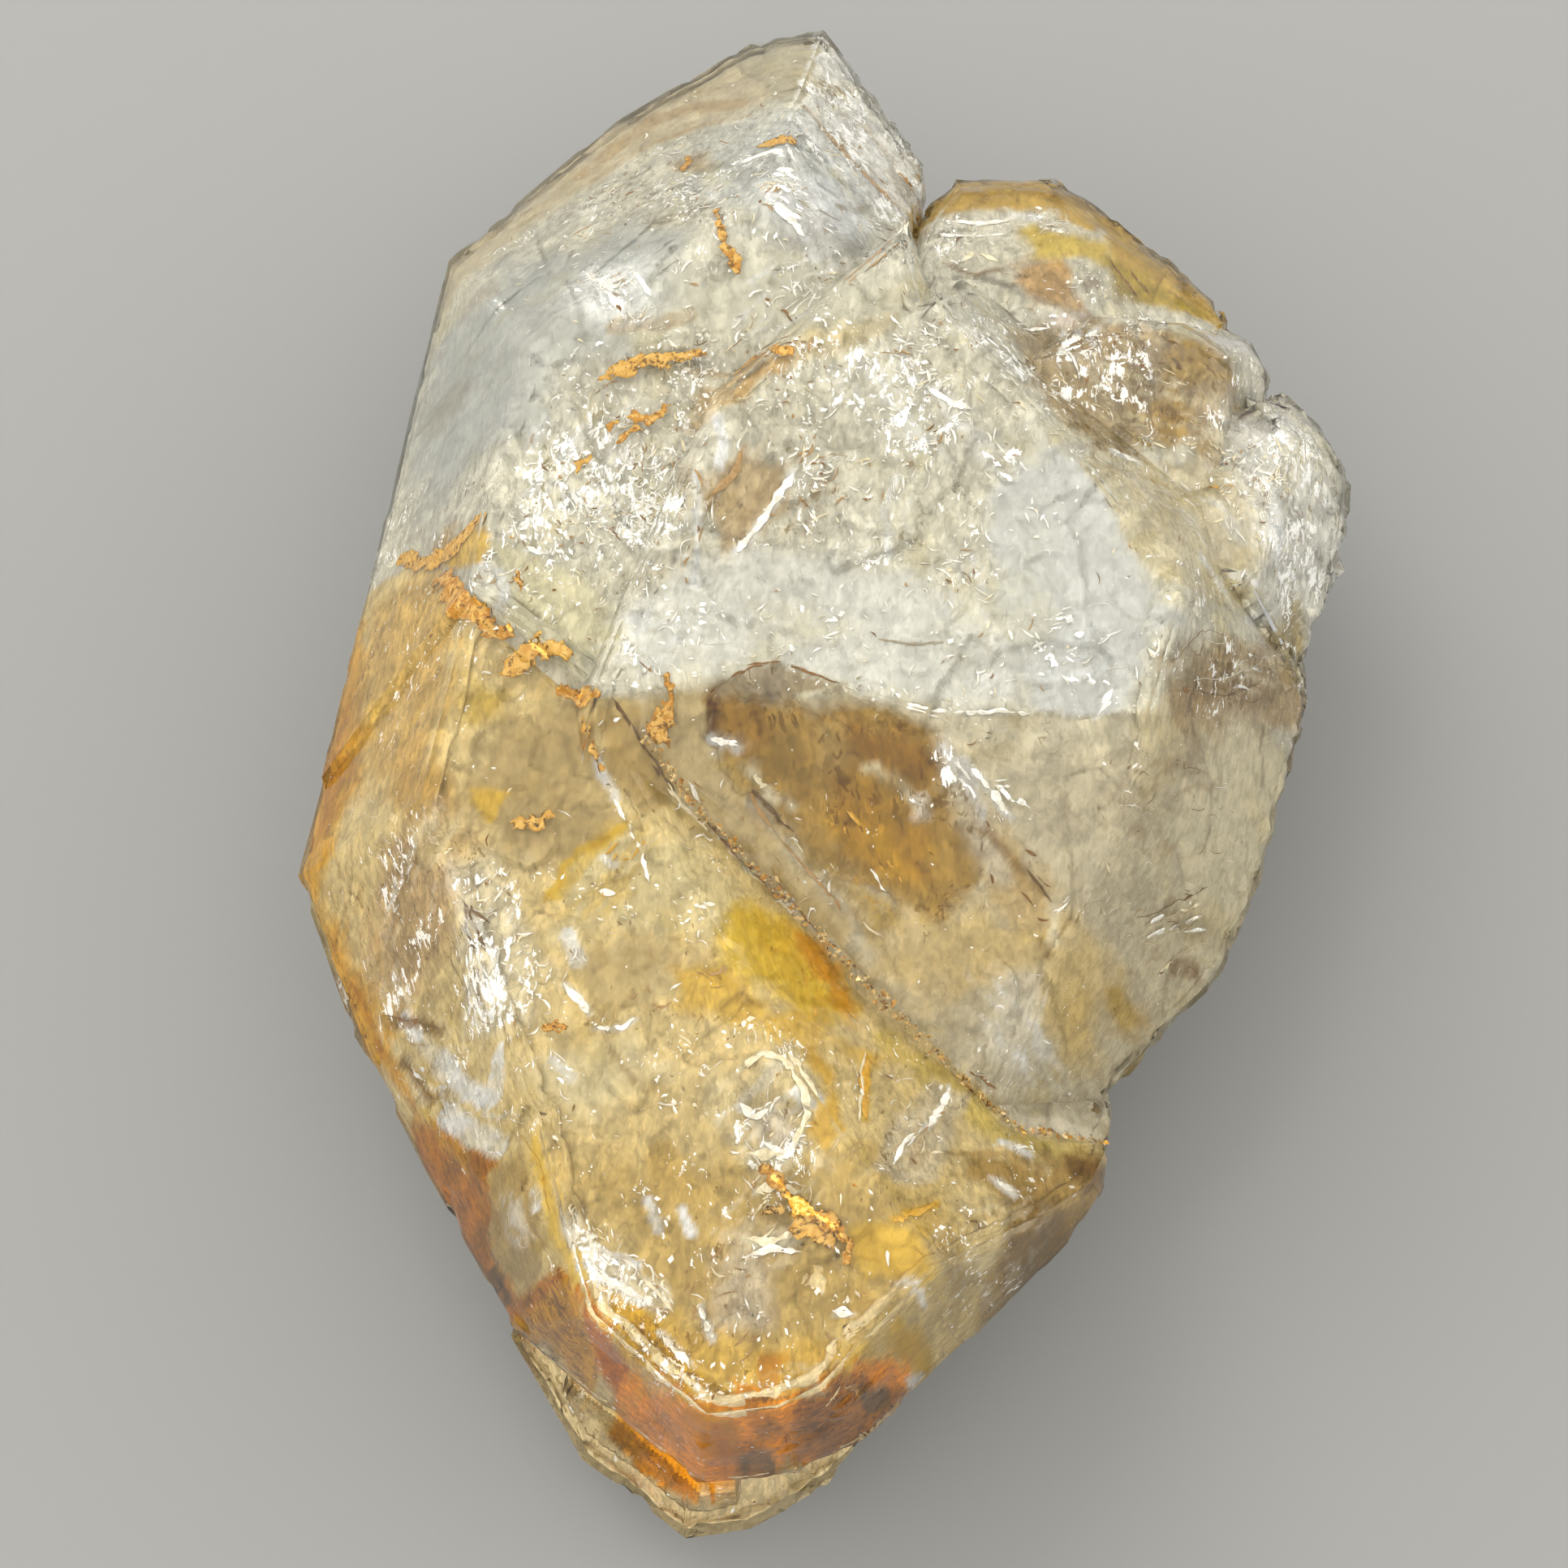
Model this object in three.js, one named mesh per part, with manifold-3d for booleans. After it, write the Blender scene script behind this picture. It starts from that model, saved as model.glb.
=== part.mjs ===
import * as THREE from 'three';
import { ConvexGeometry } from 'three/addons/geometries/ConvexGeometry.js';
import { mergeVertices } from 'three/addons/utils/BufferGeometryUtils.js';
import Module from 'manifold-3d';

// A natural quartz cluster of the short, doubly ended kind, lying on one long prism face.
// The crystals grew into one another, so the whole cluster is one solid.
// Millimetres, +Z up. The long axis of the big crystals runs along +Y, the side lobes are on +X.
//
// Every crystal is the space inside its flat faces:
//   top, base   heights of the level faces that close it
//   girdle      its widest outline, at one height, anticlockwise seen from above:
//               [x, y, tilt above, tilt below], for the edge that starts at that corner
//   slopes      single faces, each through a level line: [from, to, height of the line, tilt]
// A tilt is the angle between the face's outward normal and straight up: 0 is a level top,
// 90 an upright wall, 120 an undercut side. A face looks to the right of its line's direction.

const restHeight = 0;
const plateTop = 26.6;           // the pale upper face, the highest part of the cluster
const prismTilt = 60;            // side faces of a hexagonal prism that lies on its side
const prismUndercut = 120;
const weldStep = 0.0001;         // vertices nearer than this are one point
const parallelLimit = 1e-6;

// Upper left crystal: long prism side on the left, blunt point at the far end.
const tipCrystal = {
  top: 25.6,
  base: restHeight,
  girdle: {
    at: 13,
    corners: [
      [4.4, 4.0, 76, 112],
      [5.2, 29.4, 80, 104],
      [5.2, 32.9, 49, 128],
      [-0.4, 41.5, 40, 132],
      [-4.1, 40.9, 42, 131],
      [-12.7, 35.1, 47, 130],
      [-21.1, 26.9, prismTilt, prismUndercut],
      [-27.3, -6.0, 55, 122],
      [-19.0, -16.0, 70, 110],
    ],
  },
  slopes: [
    [[-2.6, 28.8], [-21.0, 24.0], 24.8, 8],
    [[3.0, 18.0], [-1.0, 30.0], 24.6, 12],
    [[-22.4, 5.0], [-13.4, -2.4], 24.8, 52],
  ],
};

// Left plate of the pale upper face. Its front edge drops to the honey coloured crystal.
const leftPlate = {
  top: plateTop,
  base: 4,
  girdle: {
    at: 24.6,
    corners: [
      [3.0, -12.0, 80, 90],
      [6.4, 14.0, 60, 90],
      [3.7, 23.4, 52, 96],
      [-6.8, 13.4, 56, 96],
      [-10.0, 5.4, 58, 96],
      [-13.2, -3.6, 60, 96],
      [-12.0, -12.0, 60, 90],
    ],
  },
  slopes: [
    [[-13.0, -3.9], [-2.8, -2.2], plateTop, 27],
  ],
};

// Right plate of the pale upper face, whose front slopes are the smooth smoky faces.
const rightPlate = {
  top: plateTop,
  base: 2,
  girdle: {
    at: 12,
    corners: [
      [19.6, -14.0, 62, 117],
      [22.0, -8.8, 62, 118],
      [25.3, 2.2, 60, 116],
      [23.0, 14.0, 70, 112],
      [7.0, 25.0, 74, 112],
      [-1.0, 18.0, 76, 112],
      [-13.0, -16.0, 60, 120],
      [8.0, -27.0, 60, 120],
      [14.3, -19.9, 58, 124],
    ],
  },
  slopes: [
    [[-2.8, -2.2], [7.6, -6.2], plateTop, 26],
    [[7.6, -6.2], [16.0, -4.4], plateTop, 31],
    [[16.0, -4.4], [18.4, 0.8], plateTop, 50],
    [[18.4, 0.8], [12.7, 8.0], plateTop, 48],
    [[12.7, 8.0], [8.5, 14.6], plateTop, 36],
    [[8.5, 14.6], [4.4, 20.6], plateTop, 31],
  ],
};

// Honey coloured crystal: the near end of the cluster, steep sides and a blunt point.
const honeyCrystal = {
  top: 25.0,
  base: restHeight,
  girdle: {
    at: 12,
    corners: [
      [-24.3, 10.0, prismTilt, prismUndercut],
      [-27.9, -8.4, 62, 122],
      [-24.6, -17.0, 74, 120],
      [-16.3, -32.0, 82, 112],
      [-6.9, -39.8, 83, 108],
      [-2.0, -39.3, 82, 114],
      [1.6, -37.6, 79, 118],
      [11.9, -27.5, 77, 116],
      [13.5, -25.4, 74, 110],
      [14.5, -20.4, 70, 106],
      [8.0, -8.0, 80, 100],
      [-6.0, 10.0, 60, 110],
    ],
  },
  slopes: [
    [[0.4, -26.9], [-11.0, -5.9], 25.0, 41],
    [[-9.0, -4.5], [-19.0, 6.0], 24.8, 16],
    [[-2.0, -40.0], [1.0, -20.0], 25.0, 17],
    [[-12.0, -22.0], [2.0, -22.0], 25.0, 7],
  ],
};

// Clear flat crystal under the near end. Only its rim shows past the honey coloured one.
const clearFlange = {
  top: 8.6,
  base: 0.8,
  girdle: {
    at: 5.6,
    corners: [
      [-16.7, -31.2, 52, 128],
      [-12.9, -37.5, 46, 132],
      [-7.6, -41.5, 40, 130],
      [-4.4, -41.0, 38, 130],
      [-0.4, -38.9, 44, 126],
      [5.4, -32.4, 60, 120],
      [4.0, -22.0, 60, 120],
      [-14.0, -22.0, 60, 120],
    ],
  },
  slopes: [],
};

// Side lobes on +X, from the far end to the near one.
const amberRimLobe = {
  top: 24.0,
  base: 5,
  girdle: {
    at: 15,
    corners: [
      [21.4, 22.2, 50, 130],
      [18.6, 25.6, 48, 132],
      [14.9, 28.8, 52, 130],
      [12.2, 30.9, 50, 128],
      [6.8, 30.8, 58, 126],
      [5.0, 29.0, 70, 120],
      [0.0, 16.0, 70, 110],
      [18.0, 8.0, 70, 110],
    ],
  },
  slopes: [
    [[13.7, 26.9], [5.7, 27.4], 18.2, 21],
    [[20.4, 19.8], [13.9, 26.7], 17.6, 27],
  ],
};

const middleLobe = {
  top: 24.4,
  base: 4,
  girdle: {
    at: 14,
    corners: [
      [23.3, 17.0, 66, 120],
      [23.6, 19.2, 62, 124],
      [22.8, 21.4, 56, 128],
      [21.3, 22.4, 64, 126],
      [13.0, 22.8, 66, 110],
      [4.0, 17.0, 70, 110],
      [10.0, 4.0, 70, 110],
      [21.0, 6.0, 70, 112],
    ],
  },
  slopes: [
    [[20.6, 20.0], [15.4, 21.0], 20.4, 30],
    [[21.6, 9.0], [22.0, 19.6], 19.4, 22],
  ],
};

const broadLobe = {
  top: 24.2,
  base: 3,
  girdle: {
    at: 13,
    corners: [
      [24.6, 2.2, 74, 112],
      [25.5, 4.8, 60, 120],
      [27.6, 10.9, 54, 126],
      [27.9, 13.4, 56, 126],
      [27.2, 15.7, 55, 127],
      [26.0, 17.4, 58, 126],
      [24.4, 18.6, 64, 122],
      [22.8, 18.4, 70, 114],
      [12.0, 12.0, 70, 110],
      [12.0, 2.0, 70, 110],
    ],
  },
  slopes: [
    [[24.2, 3.0], [25.4, 12.0], 18.4, 24],
    [[25.4, 12.0], [21.0, 17.4], 18.2, 20],
  ],
};

// Small crystals low on the flanks. They show from the sides and from below.
const lobeFoot = {
  top: 13.0,
  base: 1.4,
  girdle: {
    at: 7,
    corners: [
      [20.6, 1.0, 58, 124],
      [23.0, 10.0, 56, 126],
      [20.2, 18.0, 54, 124],
      [12.6, 24.6, 60, 122],
      [6.4, 23.6, 66, 118],
      [4.0, 8.0, 70, 110],
      [12.0, -2.0, 70, 110],
    ],
  },
  slopes: [],
};

const leftFoot = {
  top: 9.6,
  base: 0.9,
  girdle: {
    at: 5,
    corners: [
      [-21.0, 19.0, 48, 128],
      [-24.6, 5.0, 54, 126],
      [-25.2, -7.0, 50, 130],
      [-21.4, -17.6, 56, 124],
      [-10.0, -18.0, 60, 110],
      [-8.0, 18.0, 60, 110],
    ],
  },
  slopes: [],
};

const rightFoot = {
  top: 8.2,
  base: 0.6,
  girdle: {
    at: 4.2,
    corners: [
      [8.0, -20.4, 52, 126],
      [14.8, -16.4, 50, 128],
      [20.4, -9.0, 48, 130],
      [22.4, -1.6, 52, 126],
      [19.0, 5.6, 60, 120],
      [4.0, 4.0, 60, 110],
      [2.0, -18.0, 60, 110],
    ],
  },
  slopes: [],
};

const crystals = [
  tipCrystal, leftPlate, rightPlate, honeyCrystal, clearFlange,
  amberRimLobe, middleLobe, broadLobe,
  lobeFoot, leftFoot, rightFoot,
];

// Plane of a face that holds the level line between two points. The crystal lies behind it.
function levelLineFace(from, to, height, tilt) {
  const lean = THREE.MathUtils.degToRad(tilt);
  const normal = new THREE.Vector3(to[1] - from[1], from[0] - to[0], 0).normalize();
  normal.multiplyScalar(Math.sin(lean));
  normal.z = Math.cos(lean);
  const point = new THREE.Vector3(from[0], from[1], height);
  return new THREE.Plane().setFromNormalAndCoplanarPoint(normal, point);
}

function girdleFaces({ at, corners }) {
  return corners.flatMap(([x, y, above, below], index) => {
    const next = corners[(index + 1) % corners.length];
    return [above, below].map((tilt) => levelLineFace([x, y], next, at, tilt));
  });
}

function crystalFaces({ top, base, girdle, slopes }) {
  const level = [
    new THREE.Plane(new THREE.Vector3(0, 0, 1), -top),
    new THREE.Plane(new THREE.Vector3(0, 0, -1), base),
  ];
  const sloping = slopes.map(([from, to, height, tilt]) => levelLineFace(from, to, height, tilt));
  return [...level, ...girdleFaces(girdle), ...sloping];
}

// Point where three planes meet, or null where two of them are parallel.
function meetingPoint(a, b, c) {
  const bc = new THREE.Vector3().crossVectors(b.normal, c.normal);
  const volume = a.normal.dot(bc);
  if (Math.abs(volume) < parallelLimit) {
    return null;
  }
  const ca = new THREE.Vector3().crossVectors(c.normal, a.normal);
  const ab = new THREE.Vector3().crossVectors(a.normal, b.normal);
  return bc.multiplyScalar(-a.constant)
    .addScaledVector(ca, -b.constant)
    .addScaledVector(ab, -c.constant)
    .divideScalar(volume);
}

function cornerPoints(faces) {
  const points = [];
  for (let i = 0; i < faces.length; i += 1) {
    for (let j = i + 1; j < faces.length; j += 1) {
      for (let k = j + 1; k < faces.length; k += 1) {
        const point = meetingPoint(faces[i], faces[j], faces[k]);
        if (point && faces.every((face) => face.distanceToPoint(point) < weldStep)) {
          points.push(point);
        }
      }
    }
  }
  return points;
}

function crystalGeometry(crystal) {
  return new ConvexGeometry(cornerPoints(crystalFaces(crystal)));
}

const wasm = await Module();
wasm.setup();

function asSolid(geometry) {
  const bare = geometry.clone();
  bare.deleteAttribute('normal');
  bare.deleteAttribute('uv');
  const merged = mergeVertices(bare, weldStep);
  return new wasm.Manifold(new wasm.Mesh({
    numProp: 3,
    vertProperties: new Float32Array(merged.attributes.position.array),
    triVerts: new Uint32Array(merged.index.array),
  }));
}

function asGeometry(solid) {
  const { vertProperties, triVerts } = solid.getMesh();
  const geometry = new THREE.BufferGeometry();
  geometry.setAttribute('position', new THREE.BufferAttribute(vertProperties, 3));
  geometry.setIndex(new THREE.BufferAttribute(triVerts, 1));
  return geometry;
}

const cluster = crystals.map((crystal) => asSolid(crystalGeometry(crystal))).reduce((sum, next) => sum.add(next));
const geometry = asGeometry(cluster);
geometry.computeBoundingBox();
const centre = geometry.boundingBox.getCenter(new THREE.Vector3());
geometry.translate(-centre.x, -centre.y, 0);
geometry.computeVertexNormals();

const quartz = new THREE.MeshStandardMaterial({ color: 0xe6dcc0, roughness: 0.12, metalness: 0 });
const crystal = new THREE.Mesh(geometry, quartz);
crystal.name = 'quartz_crystal';

const model = new THREE.Group();
model.add(crystal);

export default model;
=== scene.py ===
import math

import bmesh
import bpy
import numpy as np
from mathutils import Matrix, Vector
from mathutils.bvhtree import BVHTree
from mathutils.geometry import delaunay_2d_cdt
from mathutils.kdtree import KDTree


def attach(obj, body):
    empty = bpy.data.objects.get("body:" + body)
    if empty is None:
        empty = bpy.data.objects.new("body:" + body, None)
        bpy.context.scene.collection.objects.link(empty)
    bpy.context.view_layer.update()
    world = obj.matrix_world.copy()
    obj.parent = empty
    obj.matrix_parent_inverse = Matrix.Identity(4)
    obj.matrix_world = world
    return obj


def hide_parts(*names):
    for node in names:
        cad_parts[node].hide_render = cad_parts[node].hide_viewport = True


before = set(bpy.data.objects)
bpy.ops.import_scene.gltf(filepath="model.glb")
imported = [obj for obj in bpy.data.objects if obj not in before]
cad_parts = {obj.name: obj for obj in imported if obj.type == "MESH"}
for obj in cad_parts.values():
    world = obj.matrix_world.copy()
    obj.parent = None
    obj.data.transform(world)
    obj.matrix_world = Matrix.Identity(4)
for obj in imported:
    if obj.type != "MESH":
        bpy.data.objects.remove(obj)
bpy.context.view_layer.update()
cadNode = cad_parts["quartz_crystal"]
mm = 0.001


# numbers: noise, cells, ramps and plan distances, everything in mm

def cellRandom(cells, seed, salt=0):
    # one steady random number from 0 to 1 for each whole-number cell
    mixed = cells @ np.array([374761393, 668265263, 974634777]) + seed * 144269 + salt * 7919
    mixed = mixed & 0xFFFFFFFF
    mixed = ((mixed ^ (mixed >> 13)) * 1274126177) & 0xFFFFFFFF
    return ((mixed ^ (mixed >> 16)) & 0xFFFF) / 65535.0


def smoothNoise(points, cell, seed):
    grid = points / cell + seed * 7.31
    low = np.floor(grid).astype(np.int64)
    part = grid - low
    part = part * part * (3 - 2 * part)
    total = np.zeros(len(points))
    for corner in range(8):
        step = np.array([corner & 1, corner >> 1 & 1, corner >> 2 & 1])
        weight = np.prod(np.where(step == 1, part, 1 - part), axis=1)
        total += (cellRandom(low + step, seed) * 2 - 1) * weight
    return total


def fractalNoise(points, cell, seed, octaves=4, fade=0.5):
    total = np.zeros(len(points))
    strength = 1.0
    for octave in range(octaves):
        total += strength * smoothNoise(points, cell / 2 ** octave, seed + octave)
        strength *= fade
    return total


def shards(points, cell, seed, tilt):
    # breaks space into angular cells: height of each cell's own tilted facet in mm, the cell's random number,
    # and how far a point is from the cell's border
    base = np.floor(points / cell).astype(np.int64)
    best = np.full(len(points), 1e9)
    second = best.copy()
    height = np.zeros(len(points))
    tone = np.zeros(len(points))
    for i in (-1, 0, 1):
        for j in (-1, 0, 1):
            for k in (-1, 0, 1):
                ids = base + np.array([i, j, k])
                jitter = np.stack([cellRandom(ids, seed, axis) for axis in range(3)], 1)
                away = points - (ids + jitter) * cell
                distance = np.sqrt((away ** 2).sum(1))
                closer = distance < best
                second = np.where(closer, best, np.minimum(second, distance))
                best = np.where(closer, distance, best)
                lean = (jitter[:, ::-1] * 2 - 1) * tilt
                height = np.where(closer, (away * lean).sum(1), height)
                tone = np.where(closer, cellRandom(ids, seed, 5), tone)
    return height, tone, (second - best) / 2


def ramp(values, low, high):
    t = np.clip((values - low) / (high - low), 0, 1)
    return t * t * (3 - 2 * t)


def edgeDistance(points, line):
    # distance in plan to a line of corners
    best = np.full(len(points), 1e9)
    flat = points[:, :2]
    for start, end in zip(line[:-1], line[1:]):
        a = np.array(start, float)
        run = np.array(end, float) - a
        along = np.clip(((flat - a) @ run) / (run @ run), 0, 1)
        best = np.minimum(best, np.linalg.norm(flat - a - along[:, None] * run, axis=1))
    return best


def corners(row):
    # x, y, x, y and so on, as corners
    return list(zip(row[::2], row[1::2]))


def heading(turns):
    # level unit vectors
    return np.stack([np.cos(turns), np.sin(turns), np.zeros(len(turns))], 1)


def insideOutline(points, outline):
    # distance in plan inside a closed outline, negative outside it
    x, y = points[:, 0], points[:, 1]
    inside = np.zeros(len(points), bool)
    for (x1, y1), (x2, y2) in zip(outline, outline[1:] + outline[:1]):
        if y1 != y2:
            crosses = ((y1 > y) != (y2 > y)) & (x < (x2 - x1) * (y - y1) / (y2 - y1) + x1)
            inside ^= crosses
    distance = edgeDistance(points, outline + outline[:1])
    return np.where(inside, distance, -distance)


def linear(red, green, blue):
    # everyday 0-255 colour to the linear numbers that materials use
    return tuple((c / 12.92 if c <= 0.04045 else ((c + 0.055) / 1.055) ** 2.4)
                 for c in (red / 255, green / 255, blue / 255))


# meshes and pieces

def meshPoints(mesh):
    flat = np.zeros(len(mesh.vertices) * 3, np.float32)
    mesh.vertices.foreach_get("co", flat)
    return flat.reshape(-1, 3).astype(float) / mm


def pointNormals(mesh):
    flat = np.zeros(len(mesh.vertices) * 3, np.float32)
    mesh.vertices.foreach_get("normal", flat)
    return flat.reshape(-1, 3).astype(float)


def setPoints(mesh, points):
    mesh.vertices.foreach_set("co", (points * mm).astype(np.float32).ravel())
    mesh.update()


def paint(mesh, name, colours):
    # one colour for each point
    full = np.concatenate([colours, np.ones((len(colours), 1))], 1).astype(np.float32)
    mesh.attributes.new(name, "FLOAT_COLOR", "POINT").data.foreach_set("color", full.ravel())


def meshFrom(name, parts, smooth=False):
    # parts are (points in mm, faces, one number for each point, one colour for each point), and marks as well
    # for the clouds
    faces = []
    count = 0
    for part in parts:
        faces.extend([[corner + count for corner in face] for face in part[1]])
        count += len(part[0])
    points, tones, colours = (np.concatenate([part[i] for part in parts]) for i in (0, 2, 3))
    mesh = bpy.data.meshes.new(name)
    mesh.from_pydata((points * mm).tolist(), [], faces)
    mesh.attributes.new("tone", "FLOAT", "POINT").data.foreach_set("value", tones.astype(np.float32))
    paint(mesh, "stain", colours)
    if len(parts[0]) > 4:
        paint(mesh, "marks", np.concatenate([part[4] for part in parts]))
    mesh.polygons.foreach_set("use_smooth", [smooth] * len(mesh.polygons))
    mesh.update()
    return mesh


def newPiece(name, mesh, material):
    piece = bpy.data.objects.new(name, mesh)
    bpy.context.scene.collection.objects.link(piece)
    mesh.materials.clear()
    mesh.materials.append(material)
    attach(piece, "root")
    print("%s: %d faces" % (name, len(mesh.polygons)))
    return piece


def fracturePiece(name, parts, material, smooth=False):
    return newPiece(name, meshFrom(name, parts, smooth), material)


def pinchedGrid(tops, bottoms, level):
    # points and faces of two stacked grids, closed into one solid where level is above 0 and pinched together
    # along the zero line
    inside = level > 0
    inside[[0, -1], :] = False
    inside[:, [0, -1]] = False
    cells = inside[:-1, :-1] | inside[1:, :-1] | inside[:-1, 1:] | inside[1:, 1:]
    used = np.zeros(inside.shape, bool)
    for part in (used[:-1, :-1], used[1:, :-1], used[:-1, 1:], used[1:, 1:]):
        part |= cells
    middle = (tops + bottoms) / 2
    total = np.zeros(middle.shape)
    weight = np.zeros(inside.shape)
    for step in ((0, 1), (0, -1), (1, 0), (-1, 0), (1, 1), (1, -1), (-1, 1), (-1, -1)):
        nearInside = np.roll(inside, step, (0, 1))
        nearLevel = np.roll(level, step, (0, 1))
        nearMiddle = np.roll(middle, step, (0, 1))
        share = np.clip(nearLevel / np.maximum(nearLevel - level, 1e-6), 0.05, 0.95)[..., None]
        total += np.where(nearInside[..., None], nearMiddle + (middle - nearMiddle) * share, 0)
        weight += nearInside
    rim = np.where((weight > 0)[..., None], total / np.maximum(weight, 1)[..., None], middle)
    topId = -np.ones(inside.shape, int)
    topId[used] = np.arange(used.sum())
    bottomId = topId.copy()
    bottomId[inside] = used.sum() + np.arange(inside.sum())
    points = np.concatenate([np.where(inside[..., None], tops, rim)[used], bottoms[inside]])
    r, c = np.nonzero(cells)
    ring = [(r, c), (r, c + 1), (r + 1, c + 1), (r + 1, c)]
    topFaces = np.stack([topId[at] for at in ring], 1)
    bottomFaces = np.stack([bottomId[at] for at in reversed(ring)], 1)
    return points, np.concatenate([topFaces, bottomFaces])


# material writing

class Nodes:
    def __init__(self, name):
        self.material = bpy.data.materials.new(name)
        self.material.use_nodes = True
        self.tree = self.material.node_tree
        self.tree.nodes.clear()
        self.output = self.add("ShaderNodeOutputMaterial")
        self.place = self.add("ShaderNodeTexCoord").outputs["Object"]

    def add(self, kind, inputs=None, **settings):
        node = self.tree.nodes.new(kind)
        for key, value in settings.items():
            setattr(node, key, value)
        for key, value in (inputs or {}).items():
            self.put(node.inputs[key], value)
        return node

    def put(self, socket, value):
        if isinstance(value, bpy.types.NodeSocket):
            self.tree.links.new(value, socket)
        else:
            socket.default_value = value

    def math(self, operation, a, b=0.0):
        return self.add("ShaderNodeMath", {0: a, 1: b}, operation=operation).outputs[0]

    def noise(self, sizeMm, detail=3.0, rough=0.55, warp=0.0, place=None):
        node = self.add("ShaderNodeTexNoise", {
            "Vector": place or self.place, "Scale": 1 / (sizeMm * mm), "Detail": detail,
            "Roughness": rough, "Distortion": warp})
        return node.outputs["Fac"]

    def split(self, colour):
        parts = self.add("ShaderNodeSeparateColor", {0: colour})
        return [parts.outputs[channel] for channel in ("Red", "Green", "Blue")]

    def painted(self, name, output="Color"):
        return self.add("ShaderNodeAttribute", attribute_name=name).outputs[output]

    def band(self, value, low, high, start=0.0, end=1.0):
        node = self.add("ShaderNodeMapRange", {
            "Value": value, "From Min": low, "From Max": high, "To Min": start, "To Max": end},
            interpolation_type="SMOOTHSTEP")
        return node.outputs["Result"]

    def mix(self, amount, first, second, blend="MIX"):
        node = self.add("ShaderNodeMix", data_type="RGBA", blend_type=blend)
        self.put(node.inputs["Factor"], amount)
        self.put(node.inputs["A"], first)
        self.put(node.inputs["B"], second)
        return node.outputs["Result"]

    def stretched(self, turnDegrees, factors, place=None):
        return self.add("ShaderNodeMapping", {
            "Vector": place or self.place, "Rotation": (0, 0, math.radians(turnDegrees)),
            "Scale": factors}).outputs[0]

    def vector(self, operation, a, b):
        # b is a number for SCALE, otherwise a vector
        slot = "Scale" if operation == "SCALE" else 1
        return self.add("ShaderNodeVectorMath", {0: a, slot: b}, operation=operation).outputs[0]

    def surface(self, inputs, plain=None):
        # inputs may be linked, plain numbers and colours are the same all over
        shader = self.add("ShaderNodeBsdfPrincipled", inputs)
        for key, value in (plain or {}).items():
            shader.inputs[key].default_value = value
        self.put(self.output.inputs["Surface"], shader.outputs["BSDF"])
        return self.material


def solid(rgb):
    return (*rgb, 1.0)


# camera, floor and lights

cameraSet = {
    "lens": 85.0,
    "sensor": 36.0,
    "elevation": 70.0,
    "distance": 193 * mm,
    "aim": (-2.65 * mm, -3.67 * mm, 13 * mm),
}


def addCamera():
    data = bpy.data.cameras.new("viewCamera")
    data.lens = cameraSet["lens"]
    data.sensor_width = cameraSet["sensor"]
    data.clip_start = 0.01
    camera = bpy.data.objects.new("viewCamera", data)
    bpy.context.scene.collection.objects.link(camera)
    up = math.radians(cameraSet["elevation"])
    back = Vector((0, -math.cos(up), math.sin(up)))
    camera.location = Vector(cameraSet["aim"]) + back * cameraSet["distance"]
    camera.rotation_mode = "QUATERNION"
    camera.rotation_quaternion = (-back).to_track_quat("-Z", "Y")
    bpy.context.scene.camera = camera


studioSet = {
    "ceiling": (1.0, 0.99, 0.96),         # soft ceiling
    "ceilingStrength": 2.2,
    "ring": (1.0, 0.985, 0.95),           # low bright ring of soft panels, dimmer at the front
    "ringStrength": 5.8,
    "ringRise": (0.04, 0.20, 0.42, 0.74),  # heights of direction where it starts, is full, fades and ends
    "ringFront": (-0.95, 0.0),            # from dim at the front to full at the sides
    "ringBack": (1.05, 0.40),             # and dim again at the back
    "ringRight": (4.5, -1.5),             # the right side is weaker
    "horizonStrength": 0.45,
    "keyPlace": (-0.30, 0.34, 0.60),
    "keySize": 0.40,
    "keyWatts": 3.5,
    "floorColour": linear(109, 109, 107),
    "floorHalf": 1.5,                     # metres
    "floorDrop": 0.00015,                 # a hair under the cluster
}


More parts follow.
